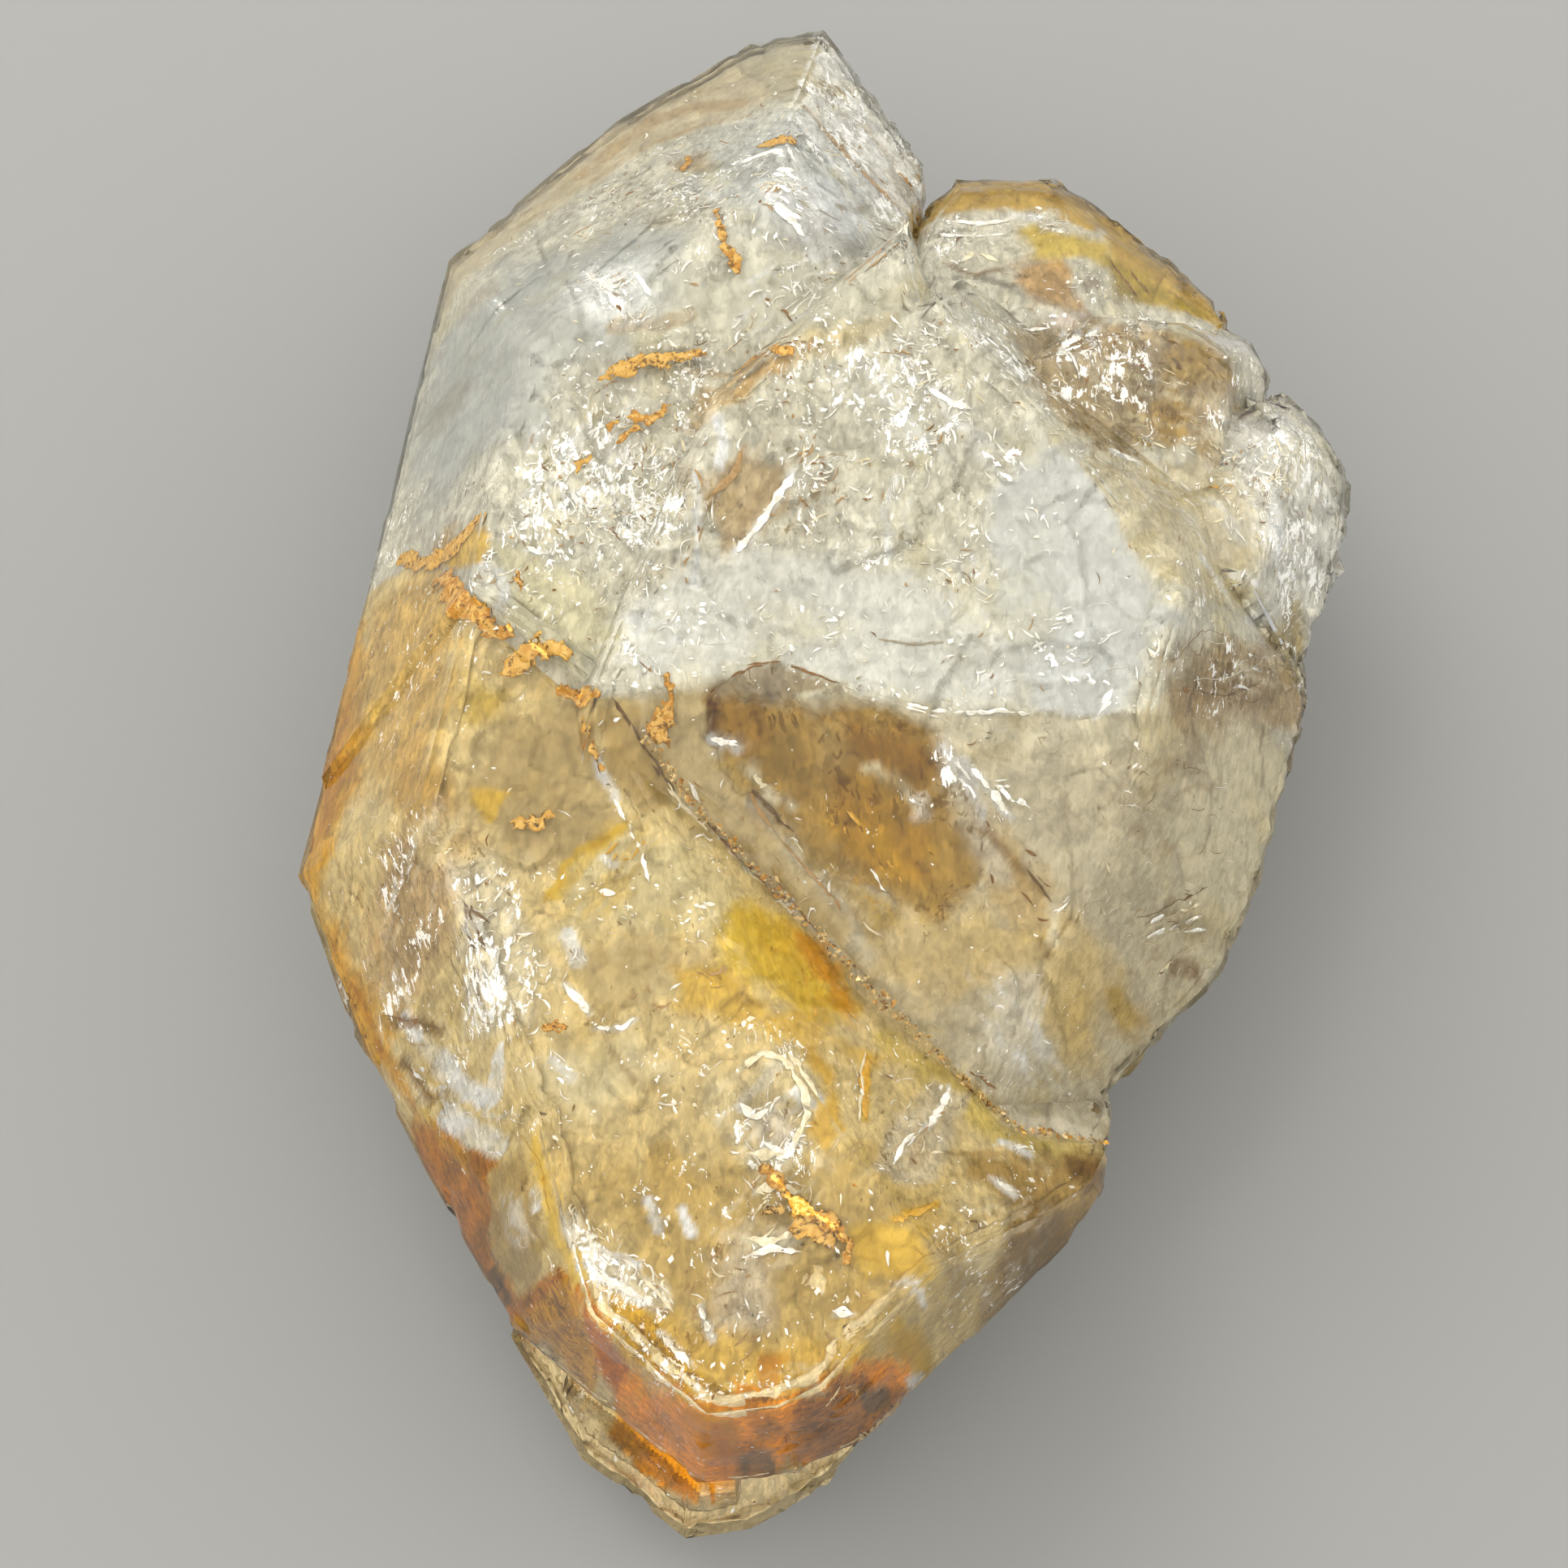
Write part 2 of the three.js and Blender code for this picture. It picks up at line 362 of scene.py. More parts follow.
def addStudio():
    world = bpy.data.worlds.new("studio")
    bpy.context.scene.world = world
    world.use_nodes = True
    tree = world.node_tree
    background = tree.nodes["Background"]

    def node(kind, inputs, **settings):
        made = tree.nodes.new(kind)
        for key, value in settings.items():
            setattr(made, key, value)
        for key, value in inputs.items():
            if isinstance(value, bpy.types.NodeSocket):
                tree.links.new(value, made.inputs[key])
            else:
                made.inputs[key].default_value = value
        return made

    def smooth(value, start, end):
        return node("ShaderNodeMapRange", {"Value": value, "From Min": start, "From Max": end},
                    interpolation_type="SMOOTHSTEP").outputs["Result"]

    def times(a, b):
        return node("ShaderNodeMath", {0: a, 1: b}, operation="MULTIPLY").outputs[0]

    way = node("ShaderNodeSeparateXYZ", {0: tree.nodes.new("ShaderNodeTexCoord").outputs["Generated"]})
    start, full, fade, end = studioSet["ringRise"]
    ring = times(smooth(way.outputs["Z"], start, full), smooth(way.outputs["Z"], end, fade))
    for axis, key in (("Y", "ringFront"), ("Y", "ringBack"), ("X", "ringRight")):
        ring = times(ring, smooth(way.outputs[axis], *studioSet[key]))
    rise = smooth(way.outputs["Z"], 0.0, 0.7)
    low, high = (solid([c * studioSet[key] for c in studioSet["ceiling"]])
                 for key in ("horizonStrength", "ceilingStrength"))
    sky = node("ShaderNodeMix", {"Factor": rise, "A": low, "B": high}, data_type="RGBA").outputs["Result"]
    bright = solid([c * studioSet["ringStrength"] for c in studioSet["ring"]])
    lit = node("ShaderNodeMix", {"Factor": ring, "A": sky, "B": bright}, data_type="RGBA").outputs["Result"]
    tree.links.new(lit, background.inputs["Color"])

    data = bpy.data.lights.new("keySoftbox", "AREA")
    data.shape = "SQUARE"
    data.size = studioSet["keySize"]
    data.energy = studioSet["keyWatts"]
    lamp = bpy.data.objects.new("keySoftbox", data)
    lamp.location = studioSet["keyPlace"]
    lamp.rotation_euler = (-Vector(studioSet["keyPlace"])).to_track_quat("-Z", "Y").to_euler()
    lamp.visible_glossy = False       # it lights the cloud but is not mirrored in the skin
    bpy.context.scene.collection.objects.link(lamp)

    mesh = bpy.data.meshes.new("paleFloor")
    half = studioSet["floorHalf"]
    corners = [(-half, -half, 0), (half, -half, 0), (half, half, 0), (-half, half, 0)]
    mesh.from_pydata(corners, [], [(0, 1, 2, 3)])
    floor = bpy.data.objects.new("paleFloor", mesh)
    bpy.context.scene.collection.objects.link(floor)
    floor.location.z = -studioSet["floorDrop"]
    paper = Nodes("palePaper").surface({"Base Color": solid(studioSet["floorColour"]), "Roughness": 0.8})
    mesh.materials.append(paper)


addCamera()
addStudio()
print("camera, lights and floor ready")


# heights of the cluster in plan, for laying things inside it

class Plan:
    # a square grid over the cluster in plan, mm
    def __init__(self, step):
        self.step = step
        self.x = np.arange(-28.2, 28.21, step)      # a little past the cluster on every side
        self.y = np.arange(-41.7, 41.71, step)
        self.gridX, self.gridY = np.meshgrid(self.x, self.y)
        self.shape = self.gridX.shape
        self.flat = np.stack([self.gridX.ravel(), self.gridY.ravel(), np.zeros(self.gridX.size)], 1)

    def heights(self, startZ, direction, missing):
        found = np.full(self.gridX.size, missing)
        for index, (x, y, _) in enumerate(self.flat * mm):
            hit = cadTree.ray_cast(Vector((x, y, startZ * mm)), Vector((0, 0, direction)))
            if hit[0] is not None:
                found[index] = hit[0].z / mm
        return found.reshape(self.shape)

    def sample(self, grid, x, y):
        # value of a grid at any place in plan
        u = np.clip((np.asarray(x) - self.x[0]) / self.step, 0, len(self.x) - 1.001)
        v = np.clip((np.asarray(y) - self.y[0]) / self.step, 0, len(self.y) - 1.001)
        c, r = u.astype(int), v.astype(int)
        fu, fv = u - c, v - r
        return ((grid[r, c] * (1 - fu) + grid[r, c + 1] * fu) * (1 - fv)
                + (grid[r + 1, c] * (1 - fu) + grid[r + 1, c + 1] * fu) * fv)

    def shrink(self, heights, radius):
        # the top surface seen from a ball's radius inside
        reach = int(radius / self.step)
        rows, columns = heights.shape
        padded = np.pad(heights, reach, constant_values=-outside)
        result = np.full(heights.shape, outside)
        for i in range(-reach, reach + 1):
            for j in range(-reach, reach + 1):
                flat = math.hypot(i, j) * self.step
                if flat <= radius:
                    part = padded[reach + i:reach + i + rows, reach + j:reach + j + columns]
                    result = np.minimum(result, part - math.sqrt(radius * radius - flat * flat))
        return result


outside = 99.0          # height that stands for nothing there, mm
cadTree = BVHTree.FromPolygons([v.co.copy() for v in cadNode.data.vertices],
                               [tuple(p.vertices) for p in cadNode.data.polygons])
rough = Plan(0.36)
fine = Plan(0.18)
above, below = 60.0, -30.0      # mm, where the rays that look for the skin start
skinTop = rough.heights(above, -1, -outside)
skinLow = rough.heights(below, 1, outside)
fineTop = fine.heights(above, -1, -outside)


def topAt(x, y):
    return rough.sample(skinTop, x, y)


def lowAt(x, y):
    return rough.sample(skinLow, x, y)


print("plan heights read")


# milky cloud sealed in the crystal: where it is stained, where shade and light are painted on it, and how
# deep it lies

cloudSet = {
    "skin": 1.1,            # clear quartz over the cloud, mm
    "side": 0.32,           # clear quartz beside it
    "closest": 0.5,         # the cloud never comes nearer to the skin than this
    "bigShard": 4.6, "bigTilt": 0.11,
    "smallShard": 1.6, "smallTilt": 0.17,
    "tinyShard": 0.8, "tinyTilt": 0.22,
    "grain": 0.08,
    "colour": linear(224, 218, 198),
    "grit": 0.75,           # how broken the cloud looks
    # the pale flakes are milky specks that also stand in as painted glints
    "flakes": 0.7,          # pale flakes
    "shade": 0.62,          # dark flakes
    "deepen": 0.61,         # how much of its stain the cloud answers, pale flakes answer all
    "darkFlake": (0.50, 0.44, 0.31),     # share of the stain that a dark flake keeps
    "paleFlake": (0.98, 0.98, 0.96),
    "paintedFrom": 0.3,     # mm, drawn lines from this width up are painted in the cloud
}
# stained places, and a few of painted shade and sheen: name, colour, strength, outline as x,y corners or (x,
# y, reach) in mm, softness of the edge and how far it wanders, then what else is special there
zones = [
    # tip and left shoulder
    ("tipRim", (206, 190, 158), 0.85, [-24.4,12, -22.4,20, -20.4,24, -17.5,26.2, -14.3,28.6, -11.3,31,
     -8,32.5, -5,33.2, -2.2,33.8, -1.2,36.5, -0.6,42, -4,42, -10,38, -17,32.5, -23,27.5, -27,12], 0.8, 0.5,
     dict(grit=0.25, flakes=0.25)),
    ("tipCrown", (194, 184, 158), 0.8, [-5,42, -4.6,37, -2.8,33, -1.9,33, -1,37, -0.6,42], 0.4, 0.3,
     dict(flakes=0.4)),
    ("tipRight", (250, 246, 234), 0.95, [-0.7,42, -1.7,35.3, -2.4,30.2, -2.3,27.6, 2.2,26.6, 5.6,27.2,
     5.6,33, 1,42], 0.15, 0.2, dict(grit=0.9, flakes=0.9)),
    ("tipCool", (202, 206, 202), 0.6, (-3, 27.4, 4.6), 2.2, 1.2),
    ("tipWhite", (252, 252, 248), 0.95, (-1.6, 24.6, 2.6), 1, 1, dict(grit=0.6, flakes=1)),
    ("tipGrey", (196, 192, 180), 0.8, (-0.9, 22.3, 2), 1.2, 0.8, dict(grit=0.4)),
    ("tipTan", (186, 164, 126), 0.8, (-7.4, 29, 1.5), 0.7, 0.9),
    ("tipSmudge", (178, 166, 142), 0.8, [-10.4,24, -8.4,24.6, -6.2,24.4, -7.4,23.4, -9.6,23.2], 0.3, 0.3),
    ("coolLeft", (200, 200, 190), 0.9, [-21.5,21, -15,24, -8.5,23, -7,18, -10,16.2, -14,14.6, -15.5,10.4,
     -20.5,9.4, -23,13], 1.6, 1.2, dict(grit=0.15, flakes=0.4)),
    ("leftSmudge", (176, 170, 152), 0.6, (-20.6, 15.4, 1.3), 0.9, 1, dict(grit=0.2)),
    ("leftSmudge2", (186, 172, 152), 0.55, (-18.6, 21.8, 1), 0.8, 0.9, dict(grit=0.2)),
    ("whiteNeck", (244, 243, 234), 0.8, (-11.4, 18.6, 2.2), 1.2, 1.2, dict(grit=0.7, flakes=0.9)),
    ("calmNeck", (222, 217, 196), 0.7, [-9,20, 2,20, 4,16.5, -2,16.4, -9,16.4], 1.2, 0.8, dict(grit=0.3)),
    ("tanFold", (202, 164, 112), 0.85, [-2,15.5, -4.2,14.8, -5.2,13, -5.9,11.6, -4.8,11.9, -3.6,13.2,
     -1.2,14.2], 0.25, 0.35),
    ("tanFoldLow", (200, 172, 132), 0.75, [-5.2,13, -6.8,13.4, -8.2,11, -7.4,9.8, -5.6,11.2], 0.35, 0.5),
    ("tanFoldRight", (216, 198, 158), 0.7, [-2,15.5, 1.5,16.4, 3.8,17.6, 2,15.2, -1,14.3], 0.4, 0.5),
    # belly and its plate
    ("tanHeart", (192, 168, 130), 0.9, [-6.6,8.4, -4.8,8.6, -2.6,8.4, -3,6.6, -4.2,5, -5.4,3, -6.3,3.2,
     -6.6,6], 0.5, 0.7, dict(grit=0.9, flakes=0.35, shade=0.8)),
    ("tanSmall", (206, 190, 158), 0.7, (-8.6, 2.4, 1.2), 0.7, 0.7),
    ("gritLeft", (224, 218, 198), 0.5, [-19,10, -8,9.5, -7.5,4, -12,0.5, -16.5,2, -19,6], 1.5, 1,
     dict(grit=1, flakes=0.8)),
    ("paleGold", (228, 218, 176), 0.7, [-16.5,4, -12.5,2.2, -11,-1, -13.5,-1.5, -16.4,0.5], 0.9, 0.8,
     dict(grit=0.5)),
    ("calmPlate", (238, 236, 224), 0.85, [-7.5,3.4, 0,3.4, 8.6,1.2, 9.2,-4.4, 1,-4, -3.1,-2, -6.2,-3.4,
     -9.6,-2.8, -10.6,0], 0.8, 0.6, dict(grit=0.35, flakes=0.5, shade=0.3)),
    ("rightPlane", (228, 228, 220), 0.85, [10.4,9.6, 12.2,8.4, 13.4,7, 14.4,4.2, 15.4,2.4, 17.4,0.2, 15.2,-1,
     13.6,-4.6, 9.8,-4.7, 7.8,1, 7.4,7], 0.5, 0.4, dict(grit=0.2)),
    ("rightSlope", (220, 206, 172), 0.8, [12.4,8.6, 13.5,7, 14.5,4.2, 15.6,2.2, 18.6,2, 22.6,5, 23.6,10.4,
     20,11.4, 13.4,10.6], 0.15, 0.2, dict(grit=0.6, flakes=0.8)),
    # right lobes
    ("brownLobe", (166, 142, 102), 0.85, [10.2,19.2, 14,19.2, 20.6,18, 22,15.4, 20.6,13, 14.6,10.8,
     11.6,11.2, 9.6,15], 0.8, 1, dict(grit=1, flakes=0.55, shade=1)),
    ("brownPatch", (172, 142, 92), 0.8, (18.6, 17.4, 1.6), 0.6, 0.9),
    ("brownPatch2", (184, 146, 84), 0.7, (17.6, 13.4, 1.4), 0.6, 0.9),
    ("lobeEdge", (232, 224, 206), 0.9, [21.6,20.4, 24.8,19.5, 24.6,15.8, 22.6,16.2], 0.5, 0.5),
    ("honeyRim", (196, 160, 92), 0.95, [4.6,26.9, 8.7,27.4, 12.4,27.2, 14.6,26.4, 15.2,23.2, 16.2,21.4,
     21.2,21.4, 24,23, 15,32, 5,32.4], 0.35, 0.4, dict(grit=0.4, flakes=0.25)),
    ("rimBrown", (158, 124, 70), 0.8, [9.6,29.6, 13,29.8, 13.4,28.4, 10.4,28], 0.4, 0.5),
    ("rimBrown2", (164, 130, 74), 0.7, (7.8, 28.4, 0.9), 0.4, 0.5),
    ("rimWhite", (240, 234, 214), 0.9, [5.2,26.8, 9.8,26.9, 9.6,25.4, 5.6,24.6], 0.4, 0.5),
    ("rimGold", (212, 182, 92), 0.9, [10,26, 14.6,25.6, 15,24, 10.6,23.6], 0.5, 0.5, dict(grit=0.3)),
    ("rimOrange", (186, 136, 72), 0.75, [10,23.4, 13,23.4, 12.9,21.2, 12.4,19.8, 10.4,20.2], 0.7, 1.1,
     dict(flakes=0.8)),
    ("rimGrey", (172, 160, 142), 0.9, (13.5, 22.4, 0.75), 0.25, 0.4),
    ("rimGreen", (182, 156, 78), 0.9, [14.6,24.2, 16.4,24, 19.8,21.6, 16,21.2, 14.6,21.6], 0.4, 0.4),
    # painted sheen: the white band along the ledge stands for the light's reflection on it
    ("whiteLedge", (240, 234, 226), 1, [14.2,20.9, 16.6,20.6, 19.6,20.4, 22.4,20, 20.6,18.9, 17.2,19.7],
     0.15, 0.25, dict(depth=-0.4, grit=0.1)),
    ("paleLedge", (232, 218, 204), 0.9, [10.8,20, 13,19.9, 12.4,19, 11.2,19], 0.2, 0.3),
    ("creamLobe", (240, 236, 224), 0.85, [20,14.6, 24,14.8, 28,12, 28,6, 26,2, 22,4.6, 21.4,10.6], 0.8, 0.7,
     dict(grit=0.9, flakes=1)),
    ("lobeWhite", (252, 252, 248), 0.95, [22.5,10.8, 23.3,10.6, 23.4,7.6, 23.2,6.2, 22.6,6.6], 0.2, 0.4),
    ("lobeOlive", (182, 160, 106), 0.8, [23.6,6.2, 24.6,5.8, 25.2,2, 23.8,1, 23.4,3.4], 0.4, 0.5),
    # right lower slope
    ("rightLower", (214, 202, 174), 1, [1.2,-3.9, 5,-4.6, 9.8,-4.8, 15,-4.9, 16.6,-2.2, 18.6,-0.6, 28,-3,
     23,-12, 16.8,-19, 14.6,-23.4, 9,-23, 6.2,-20.3, 3,-18, 0.4,-15.8, -2.3,-13.4, -4.6,-11.4, -8,-8.2,
     -9.8,-5.8, -10.6,-4, -6.2,-3.5], 0.1, 0.15, dict(depth=0.3, grit=0.5, flakes=0.35)),
    ("plateFoot", (208, 198, 172), 0.8, [5.2,-4.9, 10,-5, 15.4,-4.9, 15.4,-6, 5.6,-6.1], 0.15, 0.2),
    ("rightFan", (172, 144, 104), 0.8, [16,-3.8, 16.6,-1, 19.4,1.8, 23,3, 24.6,1, 21,-3, 18,-4.6], 0.6, 0.8,
     dict(grit=0.9, flakes=0.6, shade=1)),
    ("rightPale", (228, 216, 186), 0.85, [17,-5, 20.4,-1.6, 27,-2.6, 23,-10, 19,-14.6, 17.4,-9], 1, 0.8,
     dict(grit=0.4)),
    ("rightGold", (208, 180, 130), 0.85, [5.6,-9.6, 7.2,-9.2, 9.6,-11.2, 11.4,-14.2, 9,-14.6, 6.4,-12.2],
     0.5, 0.6),
    ("rightGoldLow", (222, 194, 136), 0.8, [4.2,-13.4, 12.4,-13.6, 14.4,-15.8, 13,-19, 8,-18, 2,-16.2], 1.4,
     1.2),
    ("rightGoldPatch", (188, 154, 90), 0.8, (14.6, -16.8, 1.1), 0.5, 0.6),
    ("rightMilk", (228, 218, 196), 0.8, [7.2,-16.4, 9.8,-16, 10.2,-19.4, 8.6,-20.4, 6.6,-18.8], 0.7, 0.9),
    ("seamStrip", (208, 186, 140), 0.95, [-10.4,-4.2, -7.6,-3.6, -6.3,-3.6, -6.3,-6, -4.6,-8.2, -2.4,-10.6,
     1,-14.2, 0.4,-15.6, -2.3,-13.2, -4.6,-11.2, -8,-8], 0.25, 0.2, dict(grit=0.3)),
    ("notchAmber", (206, 160, 82), 0.9, [13.4,-21.6, 15.4,-21.6, 15.2,-24.4, 13.4,-24.4], 0.4, 0.4),
    # smoky window under the plate
    ("smoky", (170, 136, 82), 1, [-6.3,-3.6, -1.4,-3.75, 0.2,-3.95, 2.4,-4.2, 3.7,-4.6, 4.9,-5.5, 5.5,-6.8,
     6.8,-9.2, 7.4,-12.4, 5,-14, 1.6,-12.8, -1.1,-11.6, -2.6,-9.6, -4,-8.3, -5.6,-6.2, -6.3,-5.4], 0.3, 0.5,
     dict(depth=0.6, clear=0.8, grit=0.9, flakes=0.3, shade=1)),
    ("smokyCorner", (156, 116, 60), 0.9, [-6.3,-3.6, -3.8,-3.7, -3,-5.4, -4.6,-6.2, -6.2,-5.3], 0.35, 0.3,
     dict(flakes=0)),
    ("smokyBar", (98, 62, 18), 1, [-6.45,-3.6, -6,-3.6, -6,-5.3, -6.4,-5.3], 0.08, 0.1),
    ("smokyShade", (134, 92, 38), 0.8, [0.6,-5, 3.4,-5.2, 4.8,-7, 4,-8, 1.2,-6.8, 0.2,-7.8, -0.4,-6.6], 0.5,
     0.6),
    ("smokyPale", (174, 146, 102), 0.8, [-1.4,-4.2, 0.6,-4.4, 0.4,-7, -1,-7.4], 0.5, 0.4),
    ("smokyGold", (176, 130, 58), 0.85, [-0.8,-8.4, 1.6,-8, 4.4,-10.2, 5.2,-12.8, 3.2,-12.6, 0.4,-10.8], 0.6,
     0.7),
    ("smokyGrey", (220, 208, 184), 0.85, [5,-5.9, 6.2,-7.4, 7.4,-9.8, 9,-12.6, 7.4,-12.4, 5.6,-9.4], 0.4,
     0.4, dict(flakes=0.8)),
    ("smokyFan", (178, 150, 96), 0.85, [-5.9,-6.4, -4.4,-8.4, -2.6,-10.2, -0.8,-12.4, 1.6,-14.6, 3,-13.6,
     0,-11.6, -2.6,-9, -4.8,-6.4], 0.3, 0.3, dict(flakes=0.3)),
    # painted shadow: the grey band that the plate's front edge casts onto the smoky window under it
    ("ridgeGrey", (178, 164, 142), 1, [-6.1,-3.45, -4.6,-2.75, -3.1,-2.05, -1.5,-2.8, 0.5,-3.85, -1.4,-3.7],
     0.07, 0.08),
    # the honey crystal
    ("honey", (224, 200, 148), 1, [-28,7.2, -24.2,7, -21.6,6.6, -19.4,3.8, -18.4,1, -16.6,-0.2, -14.4,-2.2,
     -12.4,-3.8, -10.4,-4, -9.8,-5.8, -8,-8.2, -4.6,-11.4, -2.3,-13.4, 0.4,-15.8, 3,-18, 6.2,-20.3, 9,-22.9,
     13.4,-23.2, 18,-25, 2,-46, -22,-46, -33,-8], 0.12, 0.2, dict(depth=0.2, grit=0.7, flakes=0.5,
     shade=0.6)),
    # painted shade: a darker honey laid over the south part of the honey crystal
    ("southHoney", (180, 146, 86), 0.62, [-13,-26.5, -4,-25.5, 3,-27, 6,-30.5, 3,-34.6, -6,-36.2, -11,-32],
     2, 1.2),
    ("leftOrange", (222, 168, 80), 0.95, [-29,7, -24.6,6.6, -24.6,0, -25.4,-6, -26,-9.6, -24.8,-14,
     -23.2,-17.2, -22.4,-19, -24,-20, -31,-8], 0.7, 0.8, dict(grit=0.7, flakes=0.35)),
    ("leftBrown", (186, 128, 52), 0.85, [-25.2,0.5, -24,-2, -24.2,-4.8, -26.4,-6.4, -27,-3], 0.6, 0.9),
    ("leftTan", (206, 168, 108), 0.8, [-24.4,6, -20.6,5.6, -19.6,1, -19,-3, -20.6,-7.6, -24.2,-6], 1.2, 1.4,
     dict(grit=0.9, flakes=0.6)),
    ("leftBrownLow", (186, 148, 92), 0.8, [-21.8,-6.2, -19,-6.6, -18.8,-9.2, -21.2,-9.6], 0.6, 0.8),
    ("goldCorner", (220, 178, 92), 0.85, [-21,6.2, -17.7,5.6, -17.9,3.6, -19.6,4], 0.3, 0.5),
    ("oliveGold", (196, 164, 84), 0.85, [-18.2,-2.2, -15.8,-2.8, -16.2,-4.6, -18,-4.8], 0.6, 0.8),
    ("greyHoney", (182, 158, 114), 0.9, [-16.8,-3.4, -12.8,-4.2, -11.8,-7.8, -10.6,-10, -12.4,-12.4,
     -16.2,-11.4, -18.4,-8], 1, 1, dict(grit=0.35, flakes=0.3)),
    ("tanNeck", (184, 156, 108), 0.9, [-11.6,-4.4, -9.8,-4.4, -8.2,-7.6, -9.4,-9.6, -11,-7.6], 0.3, 0.4,
     dict(grit=0.3)),
    ("lilacBrown", (192, 160, 122), 0.8, [-22.6,-9.6, -19.4,-9.8, -17.4,-12.6, -18.2,-16, -21.4,-17,
     -23.6,-13.4], 0.9, 1.2, dict(grit=1, flakes=0.9, shade=0.8)),
    ("paleFelt", (218, 206, 176), 0.8, [-18.8,-11.6, -15.4,-12.4, -14.2,-15.6, -15,-20, -17.2,-19.6,
     -18.8,-15], 0.7, 0.9, dict(grit=1, flakes=1, shade=0.7)),
    ("goldTriangle", (220, 178, 84), 0.85, [-17.9,-8.2, -16.2,-8.3, -17,-9.8], 0.2, 0.2),
    ("yellowArc", (206, 166, 62), 0.9, [-14.3,-13.9, -13.4,-11.9, -12,-10.8, -10.3,-9.8, -10.8,-10.8,
     -12.2,-11.8, -13.2,-13.9], 0.15, 0.2, dict(grit=0.3)),
    ("yellowBay", (216, 200, 154), 0.8, [-13.4,-13.6, -12,-11.6, -10,-10.6, -6.6,-11.4, -4,-13.6, -6,-15.4,
     -11,-15, -13.6,-15.6], 0.5, 0.7, dict(grit=0.6, flakes=0.45)),
    ("greyEgg", (198, 178, 134), 0.85, [-12.8,-17.2, -10.4,-15.9, -8.2,-16.2, -7.6,-18.2, -9.4,-19.4,
     -12,-19.2], 0.4, 0.5, dict(grit=0.3, flakes=0.4)),
    ("glow", (222, 186, 84), 0.9, [-5.2,-14.6, -2.4,-13.9, 0.2,-16.2, 0.8,-18.6, -0.6,-19.6, -3.4,-18.6,
     -5.6,-17.4], 0.7, 0.8, dict(grit=0.5, flakes=0.3)),
    ("glowOrange", (206, 138, 50), 0.85, [-2.6,-14.2, -1.4,-14.6, 0.2,-16.4, 1.2,-19.6, 0.4,-20, -0.8,-18,
     -2,-16], 0.3, 0.5),
    ("glowSide", (214, 172, 84), 0.8, [-7.6,-17.4, -5.2,-17.6, -3,-19.2, 1,-20.2, 3.6,-20.4, 1.6,-21.4,
     -4,-20.2, -7.4,-19.2], 0.5, 0.6),
    ("oliveSeam", (206, 180, 104), 0.8, [2.2,-19.6, 5.2,-20.6, 9,-23.4, 12.6,-24, 12,-24.8, 7,-24.4,
     3.8,-22], 0.5, 0.5),
    ("circleRing", (214, 196, 152), 0.8, (-3.4, -24.2, 2.7), 0.5, 0.8, dict(grit=1, flakes=1)),
    ("circleHeart", (204, 182, 144), 0.8, (-3.6, -25, 1.3), 0.5, 0.5),
    ("circleOrange", (222, 176, 92), 0.85, [-1.4,-21.2, -0.2,-22, 0.2,-25.4, -0.6,-26.4, -1.6,-25.2,
     -0.8,-23.6], 0.3, 0.4, dict(grit=0.3)),
    ("oblongMilk", (216, 200, 168), 0.9, [4.6,-21.4, 6,-22.2, 5.2,-25.4, 3.2,-27.6, 1.6,-27, 2.8,-24.4], 0.3,
     0.5, dict(grit=0.9)),
    ("paleWest", (226, 212, 172), 0.75, [-14.6,-22.2, -10.4,-21, -8.4,-22.8, -10.4,-24.8, -13.6,-25.6], 0.7,
     0.8, dict(grit=0.4)),
    ("duskWest", (196, 164, 106), 0.85, [-9.8,-26, -6.4,-26, -6.8,-28.6, -9.4,-29], 0.6, 0.8),
    ("paleBow", (226, 212, 188), 0.7, [-5.4,-30.2, -1.8,-30.2, -3.4,-31.2, -3.6,-34.2, -6.2,-34.4], 0.7, 0.9,
     dict(grit=0.7)),
    ("yellowEast", (226, 184, 92), 0.85, [0.4,-29.8, 3.6,-29.8, 3.8,-31.8, 1.2,-32.2], 0.6, 0.6,
     dict(grit=0.2)),
    ("whiteFeather", (236, 222, 188), 0.85, [-12.8,-29.8, -10.4,-30.8, -8,-33.2, -8.6,-34.2, -12,-32.2], 0.3,
     0.6, dict(grit=1, flakes=1.2)),
    ("smokyEast", (168, 136, 86), 0.95, [13.8,-24, 9.8,-24.3, 10.2,-25.2, 6.4,-25, 5.2,-26.6, 8.6,-27.6,
     7.4,-29.8, 6.4,-32.4, 9.6,-32.6, 16,-27, 16,-23.4], 0.35, 0.5, dict(depth=0.4, clear=0.5, flakes=0.5)),
    ("smokyEastDark", (112, 78, 36), 0.9, [13.9,-24, 11.2,-24.2, 11.6,-25.4, 13.4,-25.6, 15,-25], 0.3, 0.4),
    ("smokyEastDark2", (124, 94, 52), 0.8, [8.2,-29.2, 10.4,-27.6, 12.6,-26.8, 12,-28.6, 9,-31.4], 0.6, 0.8),
    ("oliveSouth", (200, 158, 50), 0.85, [2.2,-33.6, 4.4,-33.6, 5.6,-35, 4.8,-36, 2.8,-34.8], 0.4, 0.5,
     dict(grit=0.3)),
    ("goldSouth", (222, 178, 92), 0.7, [-9.6,-33.4, -4.6,-35.4, 1,-35.6, 1.6,-36.8, -5,-38.2, -9.4,-36.4],
     0.8, 0.8),
    ("goldSpot", (206, 146, 46), 0.8, [-3.8,-35.8, -2.6,-35.9, -2.8,-37.4, -3.9,-37], 0.3, 0.4),
    # the amber near end and its flange
